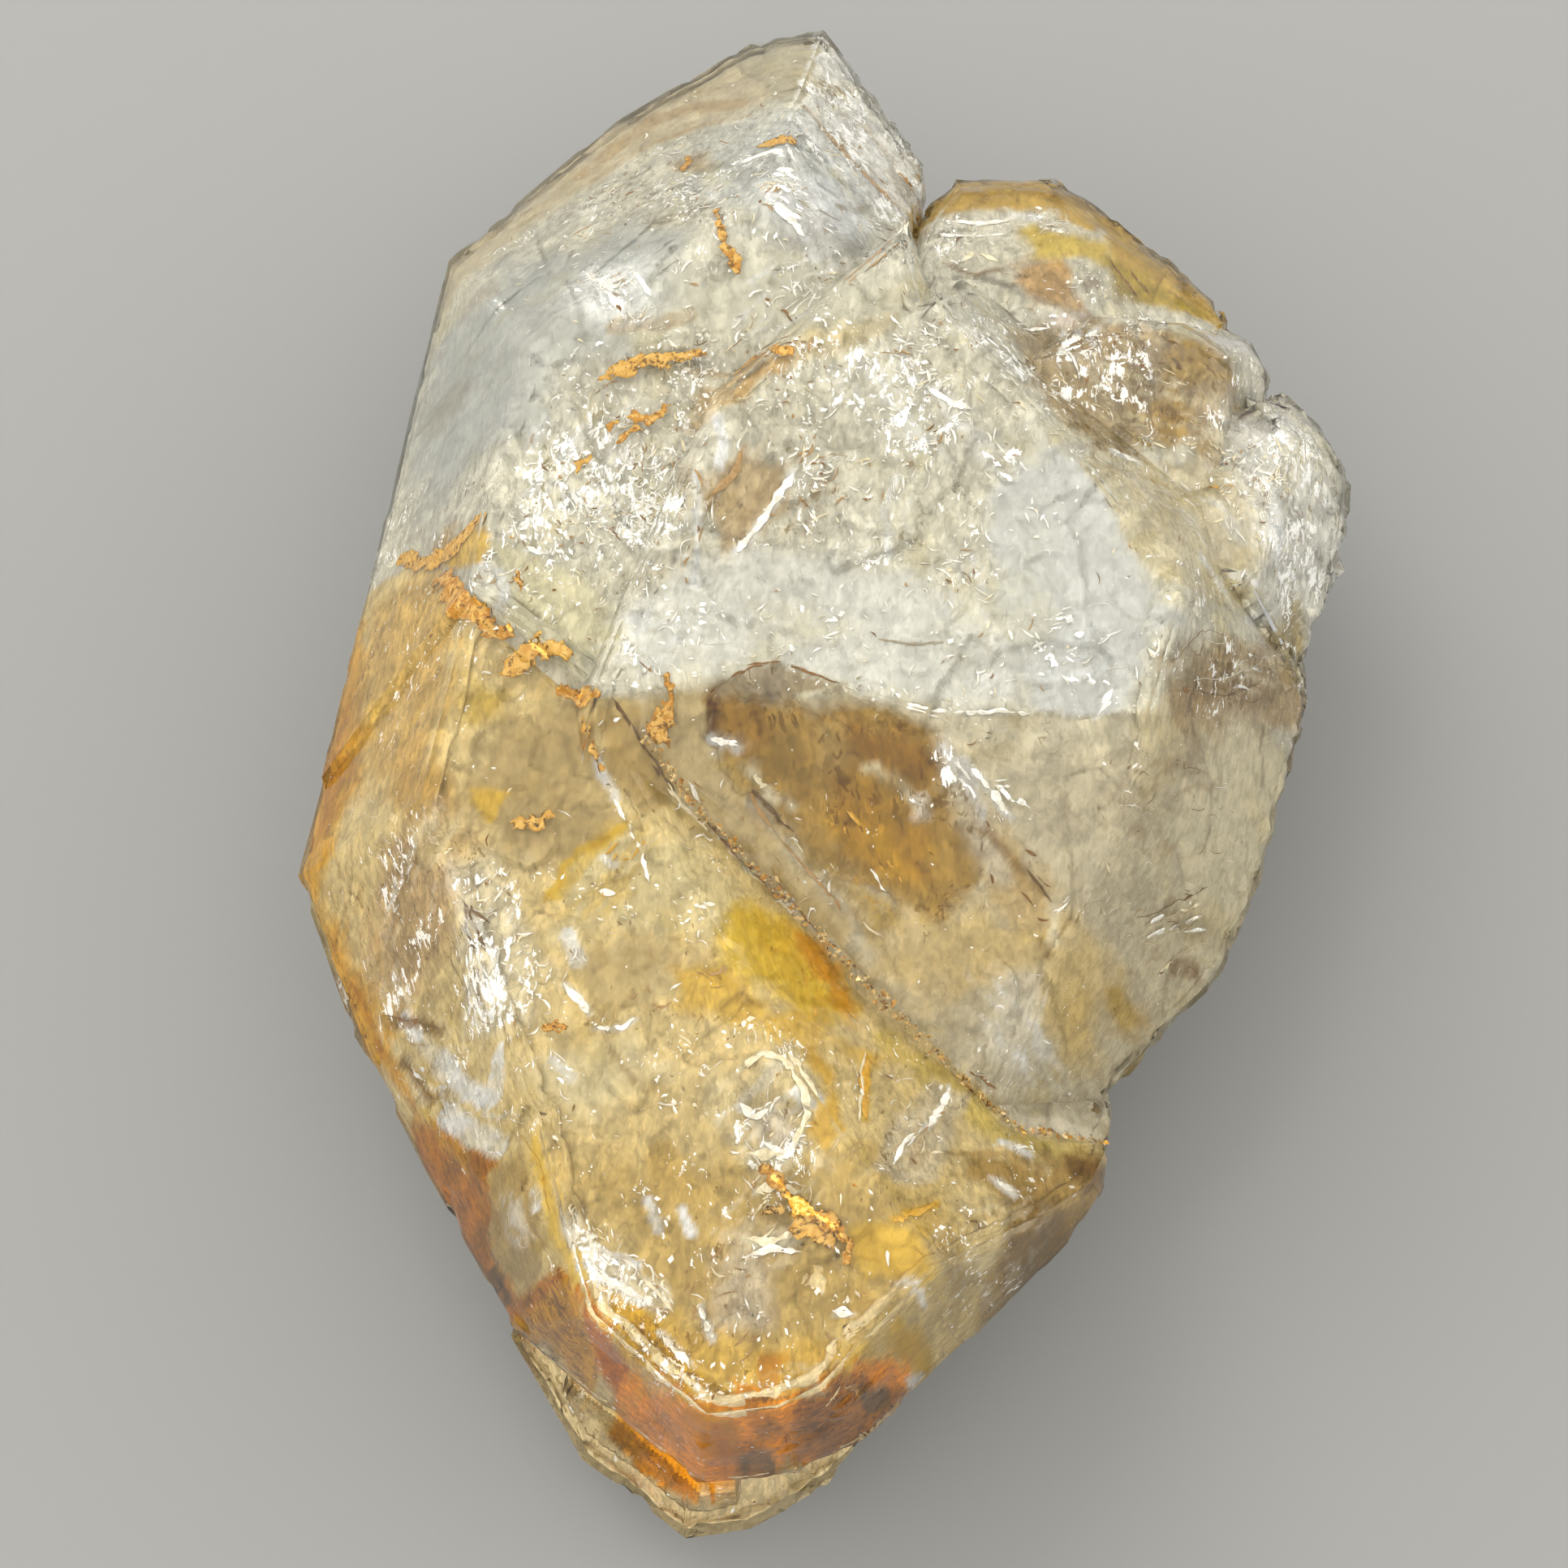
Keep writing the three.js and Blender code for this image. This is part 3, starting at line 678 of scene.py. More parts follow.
    ("amberWest", (186, 116, 30), 1, [-21.5,-22, -18.4,-23.6, -16.6,-25.8, -16.8,-29, -15.4,-31, -13,-31.2,
     -12,-33.4, -13,-34.6, -16,-34.4, -22,-27], 0.3, 0.5, dict(grit=1, flakes=0.2, shade=1)),
    ("amberShade", (148, 96, 22), 0.85, [-18.2,-24.6, -17,-25.6, -16.9,-28.6, -18,-28], 0.4, 0.5),
    ("tongue", (184, 158, 112), 0.95, [-17.1,-26, -15.4,-25.9, -14.6,-27, -14.1,-29.6, -14.2,-31.4,
     -15.6,-31.2, -17,-29.6], 0.12, 0.15, dict(clear=0.6, grit=0.5)),
    ("tongueDark", (88, 62, 22), 1, [-17.6,-29.6, -16.8,-29.5, -15.6,-31.3, -14.6,-31.5, -15.4,-32.1,
     -16.8,-31.4], 0.15, 0.25),
    ("amberOrange", (204, 148, 52), 0.95, [-17,-31.6, -15.2,-32.2, -13,-31.8, -12.2,-32.8, -11.8,-35,
     -13,-36.2, -16.4,-34.2], 0.25, 0.4, dict(grit=1, flakes=0.25, shade=1)),
    ("ridgeGold", (234, 198, 120), 0.95, [-15,-25, -14.3,-25.2, -13.6,-27.6, -12.8,-30.4, -11.8,-32.4,
     -12.4,-32.4, -13.6,-30.4, -14.4,-27.6], 0.1, 0.12, dict(grit=0.3)),
    ("amberFacet", (198, 114, 12), 1, [-12.4,-32.5, -11.4,-33.6, -9.9,-36, -10.8,-36.6, -12,-35], 0.1, 0.12,
     dict(grit=0.9, flakes=0.4, shade=0.9)),
    ("yellowFacet", (222, 172, 58), 0.95, [-11.9,-32.2, -10.6,-32.8, -8.4,-34.6, -6,-37.2, -7.4,-37.8,
     -9.8,-35.8], 0.15, 0.25, dict(grit=1, flakes=0.9)),
    ("amberEnd", (252, 158, 20), 1, [-11,-36, -9.8,-36, -7,-37.6, -4.8,-37.5, -2,-37.4, 0.6,-36.4, 3.4,-34.8,
     5,-35.4, 1,-41, -5.3,-42, -9.2,-41, -12,-37], 0.2, 0.4, dict(grit=1, flakes=0.35, shade=1)),
    ("amberTooth", (214, 140, 30), 0.95, [-7.6,-38, -6.2,-37.8, -5,-39.4, -6.6,-39.9], 0.12, 0.15,
     dict(grit=0.2)),
    ("amberTooth2", (214, 134, 18), 0.95, [-6,-37.8, -5,-38.2, -4.8,-39.6, -5.6,-39.8], 0.12, 0.15,
     dict(grit=0.2)),
    ("amberTooth3", (216, 136, 24), 0.9, [-5,-36.9, -3.4,-37.3, -3.6,-38.8, -4.7,-38.4], 0.15, 0.2),
    ("amberDark", (168, 106, 26), 0.95, [-1.6,-37.6, 1.4,-36.2, 4.6,-35.6, 1.6,-38.6, -1.8,-39.2], 0.3, 0.5,
     dict(flakes=0.15)),
    ("flange", (222, 202, 160), 1, [-17.2,-33.4, -14.8,-33.2, -13,-34.8, -11.2,-37, -9.4,-38.6, -7.4,-39.9,
     -5.4,-39.9, -1,-39.2, -1,-44, -14,-44, -19,-36], 0.12, 0.2, dict(clear=0.5, grit=0.8, flakes=0.5,
     shade=1)),
]

# inks of the drawn lines; white draws milky streaks and also painted glints, the bright flashes off cracks
inks = {
    "white": linear(254, 253, 248), "cream": linear(240, 230, 200), "tan": linear(178, 144, 96),
    "brown": linear(134, 96, 50), "gold": linear(214, 166, 58), "amber": linear(186, 118, 28),
    "dark": linear(104, 80, 48), "grey": linear(168, 158, 138),
}
# drawn lines: ink, width in mm, strength, x,y corners
strokes = [
    ("tan", 1, 0.5, [-13.6,31, -11.6,33.2, -9.4,34.9, -7.4,35.1, -5,34.2]),
    ("tan", 0.45, 0.4, [-13,30, -10.4,32, -7,33, -4.6,32.6]),
    ("cream", 0.25, 0.8, [-1.3,41, -1.8,35.3, -2.4,30.2, -2.3,26]),
    ("tan", 0.3, 0.7, [-1.6,32.8, -0.2,31, 1.4,29.2, 3.4,27.6]),
    ("white", 0.5, 0.9, [-1.8,30.4, -0.4,29, 1,27.4]), ("white", 0.35, 0.9, [0.6,38.8, 1.8,36.4]),
    ("white", 0.5, 0.9, [-2.6,25.8, -0.8,24.4, 0.6,22.9]),
    ("white", 0.4, 0.9, [-3.4,24.2, -2.2,23, -1.6,22]), ("grey", 0.16, 0.8, [-2.4,24.9, -1.2,24, 0.3,23.7]),
    ("grey", 0.5, 0.9, [0.1,25.1, 0.9,25.4, 1.5,26]), ("white", 0.4, 0.8, [-4.9,27.8, -3.2,28.2, -2,27.2]),
    ("white", 0.7, 0.7, [-7.4,27.4, -6.6,26.2, -6.2,24.6]),
    ("white", 0.35, 0.8, [-12.8,20.4, -11.8,19.2, -11.2,17.8]),
    ("white", 0.3, 0.8, [-13.8,19.8, -12.9,18.8]), ("white", 0.3, 0.8, [-10.6,20.2, -9.4,18.4]),
    ("white", 0.3, 0.8, [-17.9,21, -17.2,19.6]),
    ("cream", 0.3, 0.8, [-2,17.5, -0.2,18.4, 2.6,21.4, 3.8,23.4]),
    ("tan", 0.25, 0.7, [0.4,18.8, 2.4,20.6, 3.2,21.6]), ("brown", 0.14, 0.8, [-2.8,17.8, -2.1,16.8]),
    ("tan", 0.9, 0.5, [-11.2,16.6, -9,16.8, -7.6,17.2]),
    ("tan", 0.35, 0.7, [-7.8,14.2, -5.4,13.8, -3.8,13.9]),
    ("brown", 0.14, 0.8, [-4,15, -2.8,15.5, -1.8,15.5]), ("white", 0.5, 0.9, [-6,11, -5.6,9.4, -5.9,8.2]),
    ("white", 0.3, 0.8, [-7,8.2, -6.9,5.4, -7,1.8]), ("white", 0.2, 0.8, [-8,7.6, -8.2,5.4]),
    ("tan", 0.3, 0.6, [-6.4,6.6, -5.2,7.8, -4.6,9.4]),
    ("white", 0.35, 0.8, [-5,3.6, -4.2,4.8, -3,6.6, -2.2,8]), ("white", 0.3, 0.8, [-15.5,4.4, -14.4,4]),
    ("white", 0.5, 0.8, [-18,3.4, -16.8,3, -16.4,1.6]), ("white", 0.4, 0.7, [4.6,12.6, 5.8,11.8, 6.8,11.6]),
    ("white", 0.3, 0.8, [3,7.8, 2.2,5.8, 2.6,3.6]), ("grey", 0.12, 0.8, [2,-1, 3.6,-1.3, 5.2,-1.2]),
    # plate front and its foot
    ("brown", 0.11, 0.95, [-6.3,-3.5, -4.6,-2.72, -3.1,-2.02, -1.5,-2.7, -0.4,-3.3, 0.8,-3.9]),
    ("white", 0.16, 0.9, [0.4,-3.85, 1.6,-4.05, 3.4,-4.5, 5.2,-4.75, 9.4,-4.7]),
    ("white", 0.3, 0.7, [12.6,-4.9, 13.4,-3.6]),
    ("brown", 0.22, 0.9, [16.4,-2, 17.6,-0.4, 18.6,0.8, 19.6,1.2]),
    ("brown", 0.18, 0.9, [16.2,-3.3, 17.4,-2.5, 19.6,-1.5, 21.6,0.2]),
    ("dark", 0.16, 0.9, [17.4,-2.8, 19,-1.8, 20.6,-0.8, 22,0.6]),
    ("dark", 0.25, 0.8, [20.2,-1, 21.2,-1, 22,-0.2]), ("brown", 0.18, 0.8, [16.8,-3.5, 17.2,-4.4]),
    ("white", 0.22, 0.8, [17.6,-1.8, 19.6,-0.8, 21.6,1, 23,2.6]),
    ("white", 0.22, 0.8, [18.6,0.2, 20.2,1.2, 21.8,1.4]),
    # smoky window, where the short white strokes are painted glints
    ("white", 0.34, 0.95, [-6.3,-5.4, -5.6,-5.6, -4.8,-5.7]),
    ("cream", 0.42, 0.8, [-4.3,-6.6, -3.7,-7.5, -3,-8.2, -2.1,-8.6]),
    ("dark", 0.22, 0.85, [-4.8,-6.8, -4,-7.9, -3,-8.9, -2.2,-9.8]),
    ("brown", 0.5, 0.7, [-2,-7.8, -1.2,-8.4]), ("white", 0.2, 0.95, [-1,-8.6, -0.8,-9.4]),
    ("white", 0.12, 0.8, [-1.7,-8.2, -1.2,-8.7, -0.8,-8.9]),
    ("cream", 0.3, 0.8, [1.4,-6.9, 2.3,-7.3, 3.4,-8.3, 4.3,-8.9]),
    ("white", 0.55, 0.95, [3.9,-8.6, 4.1,-9.2]),
    ("white", 0.42, 0.95, [5.1,-6.1, 5.6,-7, 6.2,-7.6, 6.8,-8.8, 7,-9.3]),
    ("white", 0.3, 0.8, [6,-7, 7.2,-8.2, 8.4,-9.4]), ("gold", 0.3, 0.6, [0.4,-8.8, 2,-10.4, 3.6,-12.4]),
    ("brown", 0.3, 0.7, [1.6,-8.2, 3,-9.8, 4.6,-12.2]), ("brown", 0.3, 0.7, [0,-7.6, 0.4,-9.2, 0.4,-11.2]),
    ("cream", 0.14, 0.8, [-0.6,-8, -0.5,-11.6]), ("white", 0.16, 0.8, [1.4,-11.2, 2.4,-12.6]),
    ("white", 0.16, 0.8, [3.6,-10.6, 4.2,-12.4]),
    ("tan", 0.14, 0.8, [-5,-7, -3.4,-9.4, -1.8,-11.2, 0.2,-13.4]),
    ("grey", 0.12, 0.9, [-7.4,-4.6, -6.8,-6.8, -5.2,-8.8, -3,-11, -0.6,-13.6]),
    ("white", 0.18, 0.9, [-7.2,-7.4, -6.8,-8, -6.5,-8.6]), ("cream", 0.5, 0.7, [-9.2,-5.2, -8.6,-5.6]),
    # right lower slope
    ("brown", 0.5, 0.6, [6.4,-9.4, 8.4,-11, 10,-12.6]), ("dark", 0.13, 0.8, [9.2,-11.7, 10,-12.4, 10.5,-13]),
    ("brown", 0.3, 0.7, [10,-14.6, 10.4,-15.4]), ("cream", 0.5, 0.8, [10.6,-13.2, 10.7,-14.8]),
    ("cream", 0.16, 0.8, [13,-10.8, 14.2,-12.4]), ("dark", 0.12, 0.8, [15,-12.9, 17,-11.7, 18.9,-10.4]),
    ("cream", 0.13, 0.9, [15.2,-13.2, 17.2,-12, 18.8,-11]),
    ("cream", 0.13, 0.9, [15.6,-13.8, 17.6,-12.5, 18.8,-11.8]),
    ("cream", 0.13, 0.9, [16.4,-14.4, 18.4,-13, 19.2,-12.6]), ("brown", 0.7, 0.7, [17.2,-14, 18.2,-13.8]),
    ("white", 0.3, 0.9, [9,-19.6, 9.1,-20.1]),
    # seam
    ("dark", 0.13, 0.95, [-11,-4, -10.5,-4.7, -9.8,-5.9, -8.9,-7.2, -8,-8.3]),
    ("cream", 0.16, 0.95, [-8.6,-7.6, -7.4,-8.9, -6.2,-10, -4.8,-11.3]),
    ("cream", 0.22, 0.95, [-5.2,-11.1, -3.6,-12.3, -2.3,-13.4]),
    ("brown", 0.12, 0.9, [-6.8,-9.2, -5,-10.8, -3.4,-12.2, -2,-13.4, 0,-15.2]),
    ("cream", 0.15, 0.9, [-0.4,-15.6, 1.6,-17.2, 3.2,-18.6, 5.4,-20.4, 8,-22.2, 10,-23.1, 13.4,-23.3]),
    ("brown", 0.12, 0.8, [6.6,-20.4, 8,-21.2]),
    # honey
    ("white", 0.62, 0.9, [-11.8,-6.7, -11.3,-7.8, -10.9,-8.6]),
    ("white", 0.2, 0.95, [-11.2,-8.2, -10.5,-9.6, -10,-10.7, -9.6,-11.6, -9.1,-13]),
    ("brown", 0.13, 0.8, [-11.9,-6.4, -11.7,-7.4]), ("amber", 0.3, 0.8, [-12.4,-5, -12.1,-6.4]),
    ("dark", 0.16, 0.8, [-18.6,-13.6, -17.6,-14.8, -17,-16.4]), ("dark", 0.13, 0.8, [-18,-13.8, -16.8,-15]),
    ("dark", 0.16, 0.8, [-18.8,-16.2, -18,-17.8, -17.9,-19]), ("dark", 0.3, 0.7, [-17.4,-17.2, -17.3,-18.8]),
    ("white", 0.3, 0.9, [-17.6,-14.8, -16.6,-16.6, -16.2,-19]),
    ("white", 0.25, 0.9, [-18.6,-14.8, -18.2,-16.6]), ("white", 0.7, 0.85, [-13,-15.8, -12.6,-16.8]),
    ("white", 0.35, 0.9, [-13.2,-18, -12.4,-18.8, -12,-19.5]),
    ("white", 0.3, 0.8, [-11.6,-20.2, -10.4,-20.3, -9.8,-19.8]),
    ("white", 0.4, 0.8, [-11.4,-11.6, -10.9,-12]), ("white", 0.25, 0.8, [-11.6,-13.4, -10.8,-13.6]),
    ("white", 0.22, 0.8, [-7,-14.2, -6,-14]), ("brown", 0.35, 0.5, [-10.8,-21.4, -9.8,-23]),
    ("white", 0.6, 0.9, [-21.6,-17.4, -20.8,-18.6]),
    ("white", 0.7, 0.9, [-19.4,-20, -18.4,-21.6, -17.4,-22.6]),
    ("white", 0.9, 0.9, [-19.2,-22.6, -17.6,-24.2, -16.2,-25.2]),
    ("white", 0.6, 0.8, [-16.2,-21, -16.6,-22.8]), ("brown", 0.42, 0.8, [-23,-16.9, -21,-17.9, -19.4,-18.9]),
    ("brown", 0.4, 0.8, [-21.8,-19.4, -20,-21.6]),
    ("amber", 0.5, 0.7, [-24.6,-14.6, -22.8,-18.8, -20.2,-23.4]),
    ("white", 0.6, 0.8, [-13.6,-21.8, -12.8,-22.6]), ("dark", 0.22, 0.9, [-14,-24.2, -13.7,-24.4]),
    ("brown", 0.14, 0.8, [-12.7,-24.3, -12.6,-23.9]), ("white", 0.4, 0.95, [-14.6,-27.6, -14.4,-28.4]),
    ("cream", 0.12, 0.8, [-18.8,-27.8, -17.6,-29, -15.8,-30.8]),
    ("gold", 0.16, 0.9, [-15.3,-25, -14.2,-26.8, -13.9,-28.8]),
    # painted edge glint: the cream line along the upper edge of the amber tip's facet
    ("cream", 0.14, 0.95, [-12.3,-32.3, -10.8,-33.6, -8.6,-35.4, -6.4,-37.2]),
    ("white", 0.3, 0.9, [-8.4,-34.8, -7.4,-35.8, -7,-36.4]),
    ("gold", 0.3, 0.8, [-9.4,-34.4, -7.2,-36.4, -5.4,-37.6]),
    ("brown", 0.3, 0.8, [-11.4,-36.6, -9.8,-37.9, -8.4,-39.2]),
    ("dark", 0.2, 0.8, [-14.4,-33.5, -12.6,-34.8, -11.2,-36.4]), ("dark", 0.6, 0.8, [1.4,-36.6, 2.4,-36.2]),
    ("white", 0.3, 0.9, [3.6,-35.4, 4.4,-35.2]), ("dark", 0.45, 0.85, [-8,-40.2, -6.6,-40.7, -5.8,-40.5]),
    ("dark", 0.9, 0.85, [-4.6,-39.9, -3.4,-39.6]), ("tan", 0.7, 0.6, [-5.8,-41, -3.4,-40.8, -1.6,-40]),
    # golden face
    ("white", 0.7, 0.95, [-1.9,-23.4, -1.4,-23.8]), ("white", 0.35, 0.8, [-4.8,-24, -4,-24.6, -3.4,-24.2]),
    ("white", 0.4, 0.8, [-3.6,-25.9, -2.6,-26.3, -2,-25.6]),
    ("cream", 0.3, 0.7, [-4.9,-22.6, -3.6,-21.5, -2,-22, -1.5,-24.4, -2.4,-26.2, -4.4,-26.4]),
    ("cream", 0.16, 0.9, [1.2,-20.6, 1,-22.4, 0.9,-24.6]), ("gold", 0.4, 0.6, [1.3,-21, 1.2,-24.4]),
    ("white", 0.3, 0.8, [5.4,-21.6, 5,-22.8, 4.2,-24.2]), ("white", 0.25, 0.8, [3.6,-24.6, 2.4,-26.6]),
    ("cream", 0.2, 0.9, [7.6,-21.8, 9,-23, 10.4,-23.8]), ("white", 0.5, 0.9, [8,-24.2, 9.4,-24.8]),
    ("white", 0.4, 0.8, [7.4,-26.4, 8.4,-26.8]),
    ("tan", 0.4, 0.8, [5.4,-25.4, 7,-24.9, 8.6,-24.9, 10,-25.2]), ("white", 0.5, 0.9, [-9,-28.6, -8.6,-30]),
    ("white", 0.5, 0.9, [-7.4,-29, -7,-30]), ("white", 0.28, 0.9, [-4.6,-31.1, -3.2,-30.8, -1.8,-31]),
    ("cream", 0.35, 0.9, [-4,-28.2, -2.8,-27.8, -1.8,-27.9]),
    ("cream", 0.3, 0.9, [-4.6,-30.2, -3.4,-30.6, -2,-30.2]),
    ("white", 0.3, 0.8, [2.6,-32.6, 3.6,-32.4, 4,-33]), ("white", 0.3, 0.8, [-0.4,-33.6, 0.6,-33.8]),
    ("white", 0.2, 0.8, [2.2,-30.8, 2.3,-31.6]), ("white", 0.4, 0.8, [-6.6,-33.6, -6,-35]),
    ("white", 0.45, 0.9, [-11.8,-30.4, -10.6,-31.4, -9.4,-31.6]),
    ("white", 0.35, 0.9, [-12.2,-31.4, -10.8,-32.4, -9.2,-33.2]),
    ("cream", 0.14, 0.9, [-9.6,-31.8, -8.6,-32.8, -7.8,-33.8]), ("amber", 0.7, 0.6, [-3.2,-36, -3.4,-37]),
    ("gold", 0.3, 0.7, [2.6,-29.4, 3.6,-28.9, 4.6,-28.2]),
    # lobes
    ("white", 0.22, 0.9, [5.6,26.6, 7.6,26.4, 9.6,26.6]),
    ("white", 0.2, 0.9, [5.4,25.6, 7.4,25.4, 9.2,25.6]), ("white", 0.5, 0.8, [9.6,27, 11,26.8]),
    ("cream", 0.25, 0.9, [6.2,23, 7.6,24.2, 8.8,23.4]), ("brown", 0.3, 0.7, [5.8,23.4, 7.4,22.6, 8.8,23]),
    ("brown", 0.12, 0.8, [14.8,24.4, 15.6,23, 16.2,22]), ("brown", 0.12, 0.8, [15.8,24, 16.8,22.4]),
    ("gold", 0.16, 0.8, [16.8,23.6, 18,22.2]), ("brown", 0.14, 0.8, [13.4,29.2, 14.6,27.8, 15.2,26.6]),
    ("cream", 0.2, 0.8, [13,28.8, 14.2,27.6]), ("white", 0.3, 0.9, [12,18.6, 12.6,17.6, 11.6,16.4]),
    ("white", 0.14, 0.9, [11.2,16.2, 12.8,16.4, 13.4,17.4]), ("white", 0.14, 0.9, [11.8,17.4, 12.6,14.8]),
    ("white", 0.16, 0.8, [9.4,18.4, 11.2,18.8]), ("white", 0.4, 0.8, [13.2,17.4, 13.6,18.4]),
    ("dark", 0.2, 0.8, [17.6,17, 18.2,16.4]), ("cream", 0.5, 0.8, [13.8,16, 15.6,15.6]),
    ("white", 0.3, 0.8, [14,10.6, 15.4,10.4]), ("white", 0.5, 0.9, [18.4,5, 19.4,4.2, 20,3.6]),
    ("white", 0.5, 0.9, [20.4,5.2, 21.6,5.2]), ("white", 0.4, 0.8, [21,3.2, 22.2,3.8]),
]
# fans of fine parallel streaks: ink, strength, (x, y, reach along, reach across), turn in degrees,
# width of a streak in mm
fans = [
    ("white", 0.6, (-1.4, 24.4, 3, 2), -30, 0.3), ("tan", 0.6, (1.6, 32, 7, 2.6), -60, 0.3),
    ("white", 0.7, (0.6, 30, 5, 2.6), -58, 0.22), ("grey", 0.4, (-10.5, 26.5, 7, 4), 32, 0.4),
    ("white", 0.6, (-11.6, 18.8, 3.2, 1.8), -50, 0.28), ("white", 0.6, (-6.9, 4.6, 5, 1.4), 88, 0.22),
    ("tan", 0.5, (-7.4, 5.6, 4.6, 1.2), 92, 0.2), ("cream", 0.7, (-3.8, 13.2, 3.4, 1.2), 32, 0.24),
    ("tan", 0.45, (-2, 7.6, 4, 3), 52, 0.3), ("white", 0.7, (8.2, 15.6, 3.6, 1.4), -42, 0.26),
    ("white", 0.7, (8, 8.8, 3.4, 1.3), -46, 0.26), ("white", 0.55, (2.6, 5.4, 3.4, 1.4), 70, 0.26),
    ("white", 0.7, (11.4, -1, 3.4, 2.6), 24, 0.28), ("white", 0.5, (12.6, 17.4, 2.6, 2), 60, 0.2),
    ("brown", 0.6, (15.8, 17.2, 5.4, 2.6), 8, 0.34), ("cream", 0.7, (16.2, 14.2, 6, 3), -12, 0.26),
    ("cream", 0.7, (24, 11, 5, 2.6), 70, 0.4), ("brown", 0.7, (19.4, -0.8, 3.4, 1.8), 32, 0.22),
    ("cream", 0.7, (20.4, 0.6, 3.6, 1.6), 30, 0.2), ("brown", 0.5, (16.8, -8, 5, 2.6), 34, 0.16),
    ("cream", 0.6, (17.4, -12.4, 3, 2), 34, 0.13), ("brown", 0.6, (17.2, -12.8, 3, 2), 34, 0.12),
    ("brown", 0.8, (2.4, -7.6, 4.6, 3), -56, 0.3), ("gold", 0.6, (2, -10.6, 4.4, 2.8), -54, 0.26),
    ("dark", 0.5, (-2.2, -6.6, 3.6, 2.2), -58, 0.22), ("cream", 0.45, (-1, -11.4, 4.6, 1.6), -44, 0.14),
    ("tan", 0.6, (-4.4, -9.2, 5.4, 1.8), -52, 0.2), ("brown", 0.5, (8, -11.6, 4, 1.8), -46, 0.3),
    ("cream", 0.5, (6.6, -8.6, 3.4, 1.4), -58, 0.2), ("gold", 0.5, (-24.6, -3, 7, 1.6), 78, 0.34),
    ("amber", 0.5, (-24.4, -13, 6, 1.6), 105, 0.34), ("cream", 0.55, (-21, -12.4, 4.4, 2.6), 62, 0.22),
    ("white", 0.7, (-16.6, -16.4, 4.4, 1.5), 76, 0.22), ("dark", 0.6, (-17.8, -16, 3.6, 0.9), 70, 0.24),
    ("white", 0.8, (-18.6, -22, 5.2, 1.5), -44, 0.34), ("tan", 0.6, (-19.6, -20.6, 4.2, 1.4), -44, 0.28),
    ("gold", 0.5, (-11.6, -12.6, 4, 2), 50, 0.3), ("tan", 0.4, (-8.6, -17.4, 4, 2.4), -30, 0.3),
    ("gold", 0.6, (-1.4, -17.4, 4.4, 1.8), -64, 0.26), ("white", 0.5, (-3.4, -24.2, 2.8, 2.6), 40, 0.24),
    ("cream", 0.6, (4, -24.4, 3.8, 1.4), 56, 0.18), ("tan", 0.5, (3.6, -24.8, 3.6, 1.4), 58, 0.2),
    ("white", 0.7, (-10.6, -31.4, 3.6, 1.3), -42, 0.24), ("amber", 0.5, (-14.6, -32.6, 3, 1.4), -30, 0.26),
    ("gold", 0.7, (-8.8, -35.4, 4.4, 1.2), -44, 0.2), ("amber", 0.6, (-1, -38, 5, 1.6), 22, 0.24),
    ("tan", 0.45, (-5, -33.4, 5, 3), 50, 0.26), ("brown", 0.5, (7.4, -30, 3.6, 2.4), 40, 0.16),
    ("cream", 0.45, (7, -29.4, 3.8, 2.4), 44, 0.14), ("tan", 0.5, (-13.6, -36, 3.4, 1.4), -52, 0.26),
    ("brown", 0.9, (-13.6, -33.8, 4.2, 1.3), -50, 0.34), ("gold", 0.8, (-7.2, -37.6, 4.4, 1.2), -22, 0.26),
    # the cream fans at (-9.6, -35.4) and (-2.4, -36.9) lie along the near end's facet edges as painted edge
    # glints
    ("dark", 0.9, (-3.6, -38.4, 4, 1.1), 14, 0.26), ("cream", 0.8, (-9.6, -35.4, 3.6, 0.9), -42, 0.16),
    ("cream", 0.7, (-2.4, -36.9, 4.4, 0.8), 8, 0.16), ("brown", 0.9, (-9.6, -37.4, 3.6, 1), -40, 0.3),
    ("brown", 0.9, (-18.2, -26.6, 4.4, 1.2), -62, 0.34), ("gold", 0.8, (-20.4, -22, 5, 1.2), -56, 0.3),
    ("dark", 0.9, (-14.6, -35.6, 4.2, 1.2), -50, 0.34), ("dark", 0.9, (-8.6, -40, 4.2, 1), -24, 0.34),
    ("white", 0.8, (-15.6, -28.4, 2, 0.7), -72, 0.2), ("white", 0.7, (7.2, 1, 4.6, 2.2), -52, 0.24),
    ("white", 0.9, (10.2, -2.6, 4.4, 1.4), 14, 0.22), ("white", 0.7, (3.4, 12, 5, 2.6), -48, 0.26),
    ("white", 0.9, (-2.6, 18.4, 4, 2.2), 40, 0.26), ("white", 0.9, (0.6, 33.4, 4.6, 1.6), -62, 0.24),
    ("white", 0.8, (-8, -0.6, 4.4, 1.6), 12, 0.22), ("white", 0.8, (17.6, 8.4, 5, 2.4), -34, 0.24),
    ("white", 0.8, (-13, 9.6, 5, 3), 60, 0.26), ("cream", 0.7, (-3, -29, 5, 2.4), 40, 0.22),
    ("cream", 0.8, (-20.6, -19.4, 4.6, 2), -60, 0.24), ("white", 0.8, (8.6, -18.4, 3.6, 1.6), -40, 0.2),
]


def zoneCover(outline, soft, rag, flat, wander, jag):
    # how much of a zone covers each point
    if isinstance(outline, tuple):
        depth = outline[2] - np.linalg.norm(flat[:, :2] - np.array(outline[:2]), axis=1)
    else:
        depth = insideOutline(flat, outline)
    return ramp(depth + rag * wander + 0.16 * jag, -soft, soft)


